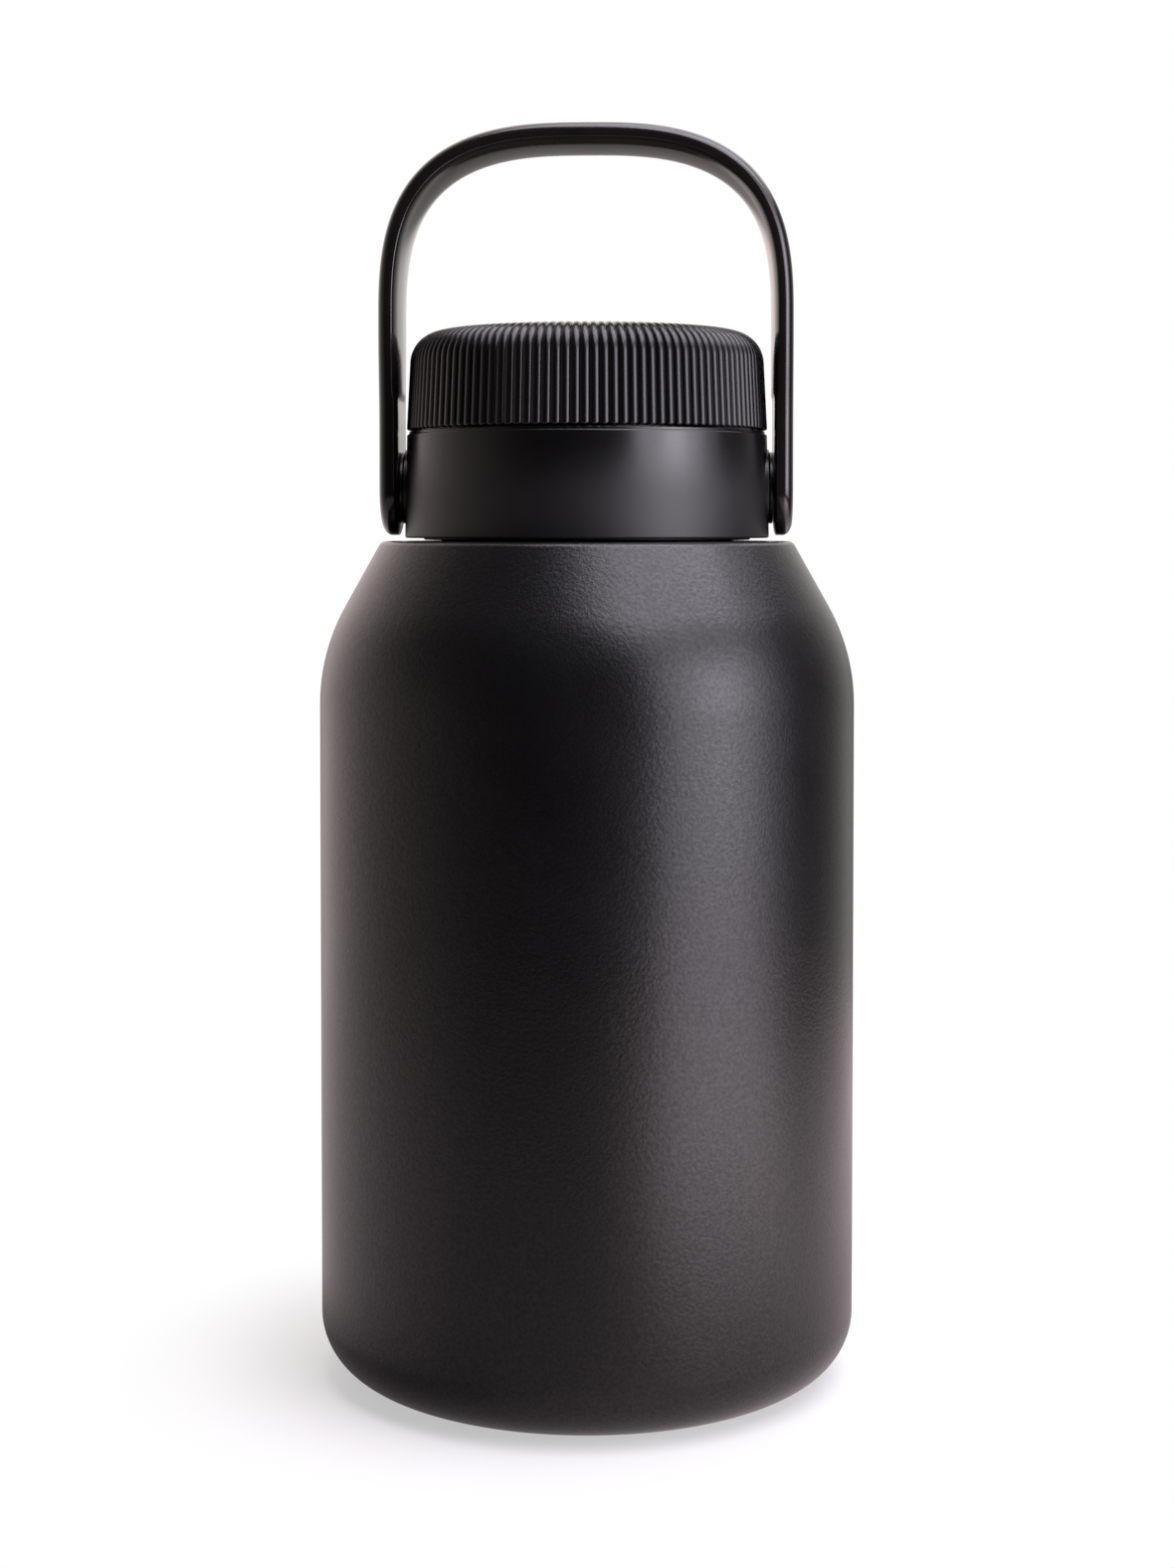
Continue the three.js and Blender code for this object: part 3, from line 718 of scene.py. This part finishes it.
def make_floor():
    """The camera sees plain white with a faint shadow at the foot. The growler reflects a graded floor that
    glows with painted light and shade: a painted shadow at the foot and straight behind it, lighter towards
    the right, and a painted sheen below the key light.
    """
    segments = 96
    vertices = [(0, 0, FLOOR_Z)]
    for i in range(segments):
        angle = 2 * math.pi * i / segments
        vertices.append((FLOOR_RADIUS * math.cos(angle), FLOOR_RADIUS * math.sin(angle), FLOOR_Z))
    faces = [(0, 1 + i, 1 + (i + 1) % segments) for i in range(segments)]
    floor = mesh_object("floor", vertices, faces)
    material = bpy.data.materials.new("floor")
    material.use_nodes = True
    graph = Graph(material.node_tree)
    position = graph.add("ShaderNodeTexCoord").outputs["Object"]
    distance = graph.add("ShaderNodeVectorMath", operation="LENGTH")
    graph.feed(distance.inputs[0], position)
    distance = distance.outputs["Value"]
    x = graph.split(position)["X"]
    heading = graph.level_heading(position)

    shadow = graph.ramp(distance, SHADOW_REACH[0] * MM, SHADOW_REACH[1] * MM, SHADOW_SHARE, 0)
    lit = graph.add("ShaderNodeBsdfDiffuse")
    graph.feed(lit.inputs["Color"], (*FLOOR_WHITE, 1))
    seen = graph.mix(shadow, graph.glow("ShaderNodeEmission", (1, 1, 1, 1), 1.0), lit.outputs[0])

    # Painted light and shade on the floor that the growler reflects, as an emission.
    at_foot = graph.ramp(distance, *FOOT_TO_NEAR, 1, 0)
    at_far = graph.ramp(distance, *NEAR_TO_FAR, 0, 1)
    left_back = graph.lobe(heading, -130, 1, FLOOR_LEFT_BACK)
    near = graph.math("ADD", graph.ramp(x, -0.02, 0.2, *FLOOR_NEAR), left_back)
    # Painted shadow at the foot, darkest at the left.
    foot = graph.ramp(x, -0.06, 0.06, *FLOOR_FOOT)
    wall = graph.lobe(heading, WALL_AZIMUTH, WALL_POWER, WALL_RADIANCE)
    fill = graph.lobe(heading, FILL_AZIMUTH, FILL_POWER, FILL_RADIANCE)
    far = graph.math("ADD", wall, fill)
    close = graph.math("MULTIPLY_ADD", graph.math("SUBTRACT", foot, near), at_foot, near)
    base = graph.math("MULTIPLY_ADD", graph.math("SUBTRACT", far, close), at_far, close)
    # Painted shadow straight behind the growler.
    base = graph.math("MULTIPLY", base, dark_sector_behind(graph, heading, FLOOR_SHADOW_BEHIND))
    # Painted sheen: a bright strip below the key light.
    strip = graph.math(
        "MULTIPLY",
        graph.ramp(graph.towards(heading, SOFTBOXES[0][1]), 0.78, 0.97, 0, FLOOR_PAINTED_SHEEN),
        graph.ramp(distance, 0.10, 0.42, 0, 1),
    )
    painted_floor_light = graph.glow("ShaderNodeEmission", (*FLOOR_TINT, 1), graph.math("ADD", base, strip))
    out = graph.add("ShaderNodeOutputMaterial")
    graph.feed(out.inputs["Surface"], graph.mix(graph.camera_ray(), painted_floor_light, seen))
    floor.data.materials.append(material)


def make_world():
    """White for the camera. As light it is a bright, slightly warm wall behind the growler."""
    world = bpy.data.worlds.new("studio")
    bpy.context.scene.world = world
    world.use_nodes = True
    graph = Graph(world.node_tree)
    direction = graph.add("ShaderNodeTexCoord").outputs["Generated"]
    height = graph.split(direction)["Z"]
    heading = graph.level_heading(direction)
    wall = graph.lobe(heading, WALL_AZIMUTH, WALL_POWER, WALL_RADIANCE)
    wall = graph.math("MULTIPLY", wall, graph.ramp(height, *WALL_HEIGHT))
    missing = graph.ramp(height, *WALL_GAP_HEIGHT, WALL_GAP, 0)
    wall = graph.math("MULTIPLY", wall, dark_sector_behind(graph, heading, missing))
    fill = graph.lobe(heading, FILL_AZIMUTH, FILL_POWER, FILL_RADIANCE)
    fill = graph.math("MULTIPLY", fill, graph.ramp(height, 0, 0.5, 1, 0.3))
    tone = graph.add("ShaderNodeMix", data_type="RGBA")
    tone.inputs["A"].default_value = (*WALL_WARM, 1)
    tone.inputs["B"].default_value = (*WALL_COOL, 1)
    graph.feed(tone.inputs["Factor"], graph.ramp(graph.split(direction)["X"], -0.5, 0.5, 0, 1))
    lit = graph.glow("ShaderNodeBackground", tone.outputs["Result"], graph.math("ADD", wall, fill))
    seen = graph.glow("ShaderNodeBackground", (1, 1, 1, 1), 1.0)
    out = graph.add("ShaderNodeOutputWorld")
    graph.feed(out.inputs["Surface"], graph.mix(graph.camera_ray(), lit, seen))


def softbox(name, azimuth, elevation, width, height, radiance):
    """A soft rectangle of light that faces the growler. Azimuth 0 is the camera's side, 90 is +X."""
    data = bpy.data.lights.new(name, "AREA")
    data.shape = "RECTANGLE"
    data.size, data.size_y = width, height
    data.energy = radiance * math.pi * width * height
    data.color = KEY_COLOUR
    light = bpy.data.objects.new(name, data)
    bpy.context.scene.collection.objects.link(light)
    a, e = math.radians(azimuth), math.radians(elevation)
    out = Vector((math.sin(a) * math.cos(e), -math.cos(a) * math.cos(e), math.sin(e)))
    light.location = Vector((0, 0, 0.15)) + out * SOFTBOX_DISTANCE
    light.rotation_euler = (-out).to_track_quat("-Z", "Y").to_euler()


make_camera()
make_floor()
make_world()
for box in SOFTBOXES:
    softbox(*box)
bpy.context.scene.view_settings.view_transform = "Standard"


# ---- Flask ----

def shell_corners():
    return [
        (BODY_RADIUS, BOTTOM_WELD_Z),
        (BODY_RADIUS, SHOULDER_Z, SHOULDER_FILLET),
        (LEDGE_RADIUS, LEDGE_Z, LEDGE_FILLET),
        (NECK_RADIUS, LEDGE_Z, 1),
        (NECK_RADIUS, RIM_Z - LINER_WALL - WELD_GAP),
    ]


def make_shell():
    """The coated upper shell. Its neck is bare turned steel with the collar's thread."""
    relief = thread_relief(NECK_THREAD, NECK_RADIUS)
    fine = (LEDGE_Z + 0.9, RIM_Z, THREAD_STEP)
    shell = lathe("flask_shell", sheet(shell_corners(), OUTER_WALL), 256, 2.5, fine, relief)
    place(shell, "flask", "outer_shell", "coated_steel", MATERIALS["coat"], MATERIALS["steel"])
    for polygon in shell.data.polygons:
        centre = polygon.center
        radius = math.hypot(centre.x, centre.y) / MM
        inside = polygon.normal.x * centre.x + polygon.normal.y * centre.y < 0 and radius < BODY_RADIUS - 0.3
        if radius < PAINT_EDGE_RADIUS or (inside and centre.z < (LEDGE_Z - 0.5) * MM):
            polygon.material_index = 1


def make_base():
    base = lathe("flask_base", sheet([
        (PORT_RADIUS, PORT_DIMPLE_Z),
        (PORT_DIMPLE_RADIUS, PORT_DIMPLE_Z, 0.5),
        (PORT_DIMPLE_RADIUS, RECESS_Z, 0.3),
        (PAD_RADIUS, RECESS_Z, 0.5),
        (PAD_RADIUS, BASE_Z, 0.7),
        (BODY_RADIUS, BASE_Z, BOTTOM_CORNER),
        (BODY_RADIUS, BOTTOM_WELD_Z),
    ], OUTER_WALL), 256, 3)
    place(base, "flask", "outer_bottom", "coated_steel", MATERIALS["coat"])


def make_pad():
    """Silicone disc with moulded grip rings on its underside."""
    corners = [(0, 0)]
    for ring in GRIP_RINGS:
        corners += [(ring - 0.6, 0, 0.15), (ring - 0.6, 0.6), (ring + 0.6, 0.6), (ring + 0.6, 0, 0.15)]
    corners += [(PAD_RADIUS - 0.4, 0, 0.4), (PAD_RADIUS - 0.4, RECESS_Z - 0.2), (0, RECESS_Z - 0.2)]
    place(lathe("grip_pad", corners), "flask", "base_pad", "base_silicone", MATERIALS["pad"])


def make_liner():
    corners = offset_corners(shell_corners(), LINER_OFFSET)
    shoulder, ledge = corners[1], corners[2]
    neck = NECK_INNER_RADIUS + LINER_WALL
    liner = lathe("steel_liner", sheet([
        (shoulder[0], LINER_WELD_Z + LINER_WELD_GAP),
        shoulder,
        (ledge[0], ledge[1], 3),
        (neck, ledge[1], 2),
        (neck, RIM_Z - LINER_WALL),
        (NECK_RADIUS, RIM_Z - LINER_WALL),
    ], LINER_WALL), 160, 5)
    place(liner, "flask", "inner_liner", "bare_steel", MATERIALS["steel"])
    radius = BODY_RADIUS - LINER_OFFSET
    bottom = lathe("liner_bottom", sheet([
        (0, LINER_BOTTOM_Z),
        (radius, LINER_BOTTOM_Z, LINER_CORNER),
        (radius, LINER_WELD_Z),
    ], LINER_WALL), 160, 5)
    place(bottom, "flask", "inner_bottom", "bare_steel", MATERIALS["steel"])


# ---- Collar ----

def make_collar():
    shell = lathe("collar_ring", [
        (COLLAR_BORE, COLLAR_BOTTOM_Z, 0.3),
        (COLLAR_BOTTOM_RADIUS, COLLAR_BOTTOM_Z, 0.5),
        (COLLAR_TOP_RADIUS, COLLAR_TOP_Z, 0.45),
        (COLLAR_LIP_RADIUS, COLLAR_TOP_Z),
        (COLLAR_LIP_RADIUS, COLLAR_LIP_Z, 0.2),
        (CAP_LINER_BORE, COLLAR_LIP_Z, 0.4),
        (CAP_LINER_BORE, COLLAR_LIP_Z - COLLAR_FLANGE),
        (COLLAR_BORE, COLLAR_LIP_Z - COLLAR_FLANGE),
    ], 256, 10)
    for side in (-1, 1):
        boss = along_x(lathe("boss", [
            (0, COLLAR_BORE + 1),
            (BOSS_RADIUS, COLLAR_BORE + 1),
            (BOSS_RADIUS, BOSS_FACE, 0.25),
            (0, BOSS_FACE),
        ], 96), side)
        boolean(shell, boss, "UNION")
        hole = along_x(lathe("hole", [
            (0, COLLAR_BORE - 2),
            (INSERT_HOLE, COLLAR_BORE - 2),
            (INSERT_HOLE, BOSS_FACE + 1),
            (0, BOSS_FACE + 1),
        ], 48), side)
        boolean(shell, hole, "DIFFERENCE")
    place(shell, "collar", "collar_shell", "collar_plastic", MATERIALS["collar"])


def make_core():
    """Threaded sleeve, deck and pouring spout."""
    deck_top = COLLAR_LIP_Z - COLLAR_FLANGE - GAP
    deck_bottom = deck_top - DECK_THICKNESS
    inner = thread_relief(CORE_THREAD, CORE_BORE)
    outer = thread_relief(SPOUT_THREAD, SPOUT_RADIUS)

    def relief(radius, z, angle):
        return inner(radius, z, angle) + outer(radius, z, angle)

    core = lathe("collar_spout", [
        (CORE_BORE, LEDGE_Z + GAP),
        (COLLAR_BORE - GAP, LEDGE_Z + GAP, 0.3),
        (COLLAR_BORE - GAP, deck_top),
        (SPOUT_RADIUS, deck_top),
        (SPOUT_RADIUS, SPOUT_TOP_Z, 0.9),
        (SPOUT_BORE, SPOUT_TOP_Z, 0.9),
        (SPOUT_BORE, deck_bottom),
        (CORE_BORE, deck_bottom),
    ], 192, 10, (LEDGE_Z + GAP, SPOUT_TOP_Z - 0.8, THREAD_STEP), relief)
    place(core, "collar", "collar_core", "collar_plastic", MATERIALS["collar"])


def make_seals():
    def flat_ring(name, radii, bottom, top):
        inner, outer = radii
        return lathe(name, [
            (inner, bottom, 0.5),
            (outer, bottom, 0.5),
            (outer, top, 0.5),
            (inner, top, 0.5),
        ], 160)

    bottom = RIM_Z + SEAL_GAP
    radii = (NECK_INNER_RADIUS - GAP, CORE_BORE - GAP)
    collar_seal = flat_ring("neck_seal", radii, bottom, bottom + GASKET_THICKNESS)
    place(collar_seal, "collar_seal", "collar_gasket", "seal_silicone", MATERIALS["seal"])
    bottom = SPOUT_TOP_Z + SEAL_GAP
    cap_seal = flat_ring("spout_seal", CAP_SEAL_RADII, bottom, CAP_LINER_DISC_Z - SEAL_GAP)
    place(cap_seal, "cap_seal", "cap_gasket", "seal_silicone", MATERIALS["seal"])


# ---- Cap ----

def rib_relief(radius, z, angle):
    """Round ribs with sharp grooves. They run over the rounded edge and fade out on the top."""
    across = (RIBS * angle / math.pi) % 2 - 1
    sweep = math.radians(RIB_SWEEP)
    crown = (np.sqrt(1 - (across * math.sin(sweep)) ** 2) - math.cos(sweep)) / (1 - math.cos(sweep))
    fade = smooth((radius - RIB_FADE[0]) / (RIB_FADE[1] - RIB_FADE[0]))
    beyond = np.maximum(radius - CAP_TOP_RADIUS + CAP_FILLET, 0)
    above = np.maximum(z - CAP_EDGE_Z + CAP_FILLET, 0)
    outside = np.hypot(beyond, above) > CAP_FILLET - 1
    return -RIB_DEPTH * (1 - crown) * fade * outside


def make_cap():
    shell = lathe("ribbed_cap", [
        (0, CAP_TOP_Z - CAP_WALL),
        (CAP_TOP_RADIUS - CAP_WALL, CAP_EDGE_Z - CAP_WALL, CAP_FILLET - CAP_WALL),
        (CAP_BOTTOM_RADIUS - CAP_WALL, CAP_BOTTOM_Z),
        (CAP_BOTTOM_RADIUS, CAP_BOTTOM_Z, 0.45),
        (CAP_TOP_RADIUS, CAP_EDGE_Z, CAP_FILLET),
        (CAP_PANEL[1], CAP_EDGE_Z + 0.1, 0.5),
        (CAP_PANEL[0], CAP_EDGE_Z - 0.35, 0.5),
        (0, CAP_EDGE_Z - 0.2),
    ], RIBS * RIB_STEPS, 5, None, rib_relief)
    place(shell, "cap", "cap_shell", "cap_plastic", MATERIALS["cap"])
    flange_radius = CAP_BOTTOM_RADIUS - CAP_WALL - GAP
    relief = thread_relief(CAP_THREAD, CAP_LINER_BORE)
    liner = lathe("cap_thread_liner", [
        (0, CAP_LINER_DISC_Z),
        (CAP_LINER_BORE, CAP_LINER_DISC_Z),
        (CAP_LINER_BORE, CAP_LINER_FLANGE_Z),
        (flange_radius, CAP_LINER_FLANGE_Z, 0.3),
        (flange_radius, CAP_LINER_FLANGE_Z + CAP_LINER_FLANGE),
        (CAP_LINER_RADIUS, CAP_LINER_FLANGE_Z + CAP_LINER_FLANGE),
        (CAP_LINER_RADIUS, CAP_LINER_DISC_Z + CAP_LINER_DISC),
        (0, CAP_LINER_DISC_Z + CAP_LINER_DISC),
    ], 192, 10, (CAP_LINER_FLANGE_Z, CAP_LINER_DISC_Z, THREAD_STEP), relief)
    place(liner, "cap", "cap_liner", "cap_plastic", MATERIALS["cap"])


# ---- Handle ----

def arch_line(count):
    """Points along the strap's outer crown from arm to arm, with the direction outwards."""
    rise = STRAP_TOP_Z - ARCH_Z
    points = []
    outwards = []
    for i in range(count + 1):
        angle = math.pi * i / count
        c, s = math.cos(angle), max(math.sin(angle), 0)
        power = 2 / ARCH_EXPONENT
        x = math.copysign(abs(c) ** power, c)
        z = s ** power
        points.append((STRAP_OUTER_X * x, ARCH_Z + rise * z))
        slope = ARCH_EXPONENT - 1
        normal = Vector((
            math.copysign(abs(x) ** slope, x) / STRAP_OUTER_X,
            z ** slope / rise,
        )).normalized()
        outwards.append(tuple(normal))
    return points, outwards


def strap_stations():
    """Each station is (x, z, outward x, outward z, half width, distance below the pivot)."""
    half = STRAP_WIDTH / 2
    arm = []
    for i in range(1, 31):
        angle = math.radians(88) * (1 - i / 30) if i < 30 else 0.0
        below = LOBE_RADIUS * math.sin(angle)
        arm.append((PIVOT_Z - below, LOBE_RADIUS * math.cos(angle), below))
    for i in range(1, 77):
        above = (ARCH_Z - PIVOT_Z) * i / 77
        widen = float(smooth((above - LOBE_TAPER[0]) / (LOBE_TAPER[1] - LOBE_TAPER[0])))
        arm.append((PIVOT_Z + above, LOBE_RADIUS + (half - LOBE_RADIUS) * widen, 0))
    right = [(STRAP_OUTER_X, z, 1, 0, width, below) for z, width, below in arm]
    left = [(-STRAP_OUTER_X, z, -1, 0, width, below) for z, width, below in reversed(arm)]
    points, outwards = arch_line(120)
    arch = [(*p, *n, half, 0) for p, n in zip(points, outwards)]
    return right + arch + left


def rounded_edge(from_edge, width, drop):
    """How far a face falls away near the strap's edge, as a quarter of an ellipse."""
    u = np.clip(1 - from_edge / width, 0, 1)
    return drop * (1 - np.sqrt(1 - u * u))


def make_strap():
    """Flat bail handle, crowned outside, with round lobes at the pivots."""
    columns = 41
    across = np.sin(np.linspace(-1, 1, columns) * math.pi / 2)
    vertices = []
    for x, z, nx, nz, half, below in strap_stations():
        y = across * half
        edge = half - abs(y)
        if below > 0:
            edge = LOBE_RADIUS - np.hypot(y, below)
        edge = np.maximum(edge, 0)
        outer = rounded_edge(edge, CROWN_WIDTH, CROWN_DROP)
        grown = float(smooth((z - LOBE_STEP[0]) / (LOBE_STEP[1] - LOBE_STEP[0])))
        level = max(nz, 0) ** 2
        thickness = LOBE_THICKNESS + (STRAP_THICKNESS - LOBE_THICKNESS) * grown + CROWN_SWELL * level
        bulge = (INNER_BULGE * grown + CROWN_BULGE * level) * across * across
        inner = thickness - bulge - rounded_edge(edge, INNER_EDGE_WIDTH, INNER_EDGE_DROP)
        for depth, order in ((outer, 1), (inner, -1)):
            for d, v in list(zip(depth, y))[::order]:
                vertices.append((x - nx * d, v, z - nz * d))
    ring = 2 * columns
    stations = len(vertices) // ring
    faces = []
    for i in range(stations - 1):
        for j in range(ring):
            a, b = i * ring + j, i * ring + (j + 1) % ring
            faces.append((a, a + ring, b + ring, b))
    faces.append(tuple(range(ring)))
    faces.append(tuple(range(len(vertices) - 1, len(vertices) - 1 - ring, -1)))
    strap = mesh_object("bail_handle", vertices, faces)
    for side in (-1, 1):
        for radius, start in ((PIVOT_HOLE, WASHER_FACES[1] - 1), (COUNTERBORE_RADIUS, COUNTERBORE_START)):
            tool = along_x(lathe("drill", [
                (0, start),
                (radius, start),
                (radius, STRAP_OUTER_X + 2),
                (0, STRAP_OUTER_X + 2),
            ], 64), side)
            boolean(strap, tool, "DIFFERENCE")
    place(strap, "handle", "handle_strap", "strap_plastic", MATERIALS["strap"])


def make_pivots():
    for name, side in (("left", -1), ("right", 1)):
        washer = along_x(lathe(f"washer_{name}", [
            (PIVOT_HOLE, WASHER_FACES[0]),
            (WASHER_RADIUS, WASHER_FACES[0], 0.2),
            (WASHER_RADIUS, WASHER_FACES[1], 0.2),
            (PIVOT_HOLE, WASHER_FACES[1]),
        ], 96), side)
        place(washer, "collar", f"pivot_washer_{name}", "pivot_plastic", MATERIALS["pivot"])
        plug = along_x(lathe(f"plug_{name}", [
            (0, PLUG_FACES[0]),
            (PLUG_RADIUS, PLUG_FACES[0]),
            (PLUG_RADIUS, PLUG_FACES[1] - 0.1, 0.35),
            (0, PLUG_FACES[1]),
        ], 96), side)
        place(plug, "handle", f"pivot_plug_{name}", "pivot_plastic", MATERIALS["pivot"])


def screw_relief(radius, z, angle):
    """A fine machine thread, cut inwards from the crest."""
    along = (z / SCREW_PITCH - angle / (2 * math.pi)) % 1
    on_crest = abs(radius - SCREW_THREAD_RADIUS) < 0.01
    on_thread = (z > SCREW_TIP + 0.5) & (z < SHOULDER_START - 0.2)
    return -SCREW_DEPTH * abs(2 * along - 1) * on_crest * on_thread


def knurl_relief(radius, z, angle):
    """Straight knurling on the insert's outside."""
    return -KNURL_DEPTH * (1 + np.cos(KNURLS * angle)) / 2 * (radius > INSERT_RADIUS - 0.01)


def make_fasteners():
    """Brass inserts moulded into the collar, and the shoulder screws that the handle turns on."""
    middle = (INSERT_START + INSERT_END) / 2
    for name, side in (("left", -1), ("right", 1)):
        insert = along_x(lathe(f"insert_{name}", [
            (INSERT_BORE, INSERT_START, 0.15),
            (INSERT_RADIUS, INSERT_START),
            (INSERT_RADIUS, middle - INSERT_GROOVE),
            (INSERT_RADIUS - INSERT_GROOVE, middle - INSERT_GROOVE),
            (INSERT_RADIUS - INSERT_GROOVE, middle + INSERT_GROOVE),
            (INSERT_RADIUS, middle + INSERT_GROOVE),
            (INSERT_RADIUS, INSERT_END),
            (INSERT_BORE, INSERT_END, 0.15),
        ], KNURLS * 8, relief=knurl_relief), side)
        place(insert, "collar", f"pivot_insert_{name}", "brass", MATERIALS["brass"])
        screw = along_x(lathe(f"screw_{name}", [
            (0, SCREW_TIP),
            (SCREW_THREAD_RADIUS - 0.4, SCREW_TIP),
            (SCREW_THREAD_RADIUS, SCREW_TIP + 0.4),
            (SCREW_THREAD_RADIUS, SHOULDER_START),
            (SHOULDER_RADIUS, SHOULDER_START, 0.1),
            (SHOULDER_RADIUS, HEAD_START),
            (HEAD_RADIUS, HEAD_START, 0.1),
            (HEAD_RADIUS, HEAD_END, 0.35),
            (0, HEAD_END),
        ], 64, 10, (SCREW_TIP + 0.4, SHOULDER_START, SCREW_STEP), screw_relief), side)
        socket = along_x(lathe("socket", [
            (0, HEAD_END - HEX_DEPTH - 0.4),
            (HEX_RADIUS, HEAD_END - HEX_DEPTH),
            (HEX_RADIUS, HEAD_END + 1),
            (0, HEAD_END + 1),
        ], 6), side)
        boolean(screw, socket, "DIFFERENCE")
        place(screw, "collar", f"pivot_screw_{name}", "bare_steel", MATERIALS["steel"])


def make_vacuum_parts():
    """Copper foil round the liner, the getter capsule and the solder that seals the vacuum."""
    inner = BODY_RADIUS - LINER_OFFSET + GAP
    foil = lathe("copper_foil", [
        (inner, LINER_WELD_Z + GAP),
        (inner + FOIL_THICKNESS, LINER_WELD_Z + GAP),
        (inner + FOIL_THICKNESS, FOIL_TOP_Z),
        (inner, FOIL_TOP_Z),
    ], 160)
    place(foil, "flask", "heat_shield", "copper_foil", MATERIALS["copper"])
    bottom = RECESS_Z + OUTER_WALL + WELD_GAP
    capsule = lathe("getter_capsule", [
        (0, bottom),
        (GETTER_RADIUS, bottom, 0.5),
        (GETTER_RADIUS, bottom + GETTER_HEIGHT, 0.7),
        (GETTER_RADIUS - 1.4, bottom + GETTER_HEIGHT, 0.2),
        (GETTER_RADIUS - 1.7, bottom + GETTER_HEIGHT - 0.4, 0.2),
        (0, bottom + GETTER_HEIGHT - 0.4),
    ], 96)
    capsule.data.transform(Matrix.Translation((GETTER_X * MM, 0, 0)))
    place(capsule, "flask", "getter", "bare_steel", MATERIALS["steel"])
    solder = lathe("seal_solder", [
        (0, RECESS_Z + 0.35),
        (PORT_DIMPLE_RADIUS - 1.4, RECESS_Z + 0.15, 1),
        (PORT_DIMPLE_RADIUS - 0.3, RECESS_Z + 0.45, 0.3),
        (PORT_DIMPLE_RADIUS - 0.3, PORT_DIMPLE_Z - 0.15),
        (0, PORT_DIMPLE_Z - 0.15),
    ], 96)
    place(solder, "flask", "vacuum_seal", "solder", MATERIALS["solder"])


def make_foam():
    inner = CAP_LINER_RADIUS + GAP
    outer = CAP_TOP_RADIUS - CAP_WALL - GAP
    top = CAP_EDGE_Z - CAP_WALL - GAP
    ceiling = CAP_LINER_DISC_Z + CAP_LINER_DISC + GAP
    bottom = CAP_LINER_FLANGE_Z + CAP_LINER_FLANGE + GAP
    filling = lathe("foam_filling", [
        (0, ceiling),
        (inner, ceiling, 0.4),
        (inner, bottom, 0.4),
        (outer, bottom, 0.4),
        (outer, top, CAP_FILLET - CAP_WALL),
        (0, top),
    ], 160)
    place(filling, "cap", "cap_foam", "foam", MATERIALS["foam"])


make_shell()
make_base()
make_pad()
make_liner()
make_collar()
make_core()
make_seals()
make_cap()
make_strap()
make_pivots()
make_fasteners()
make_vacuum_parts()
make_foam()
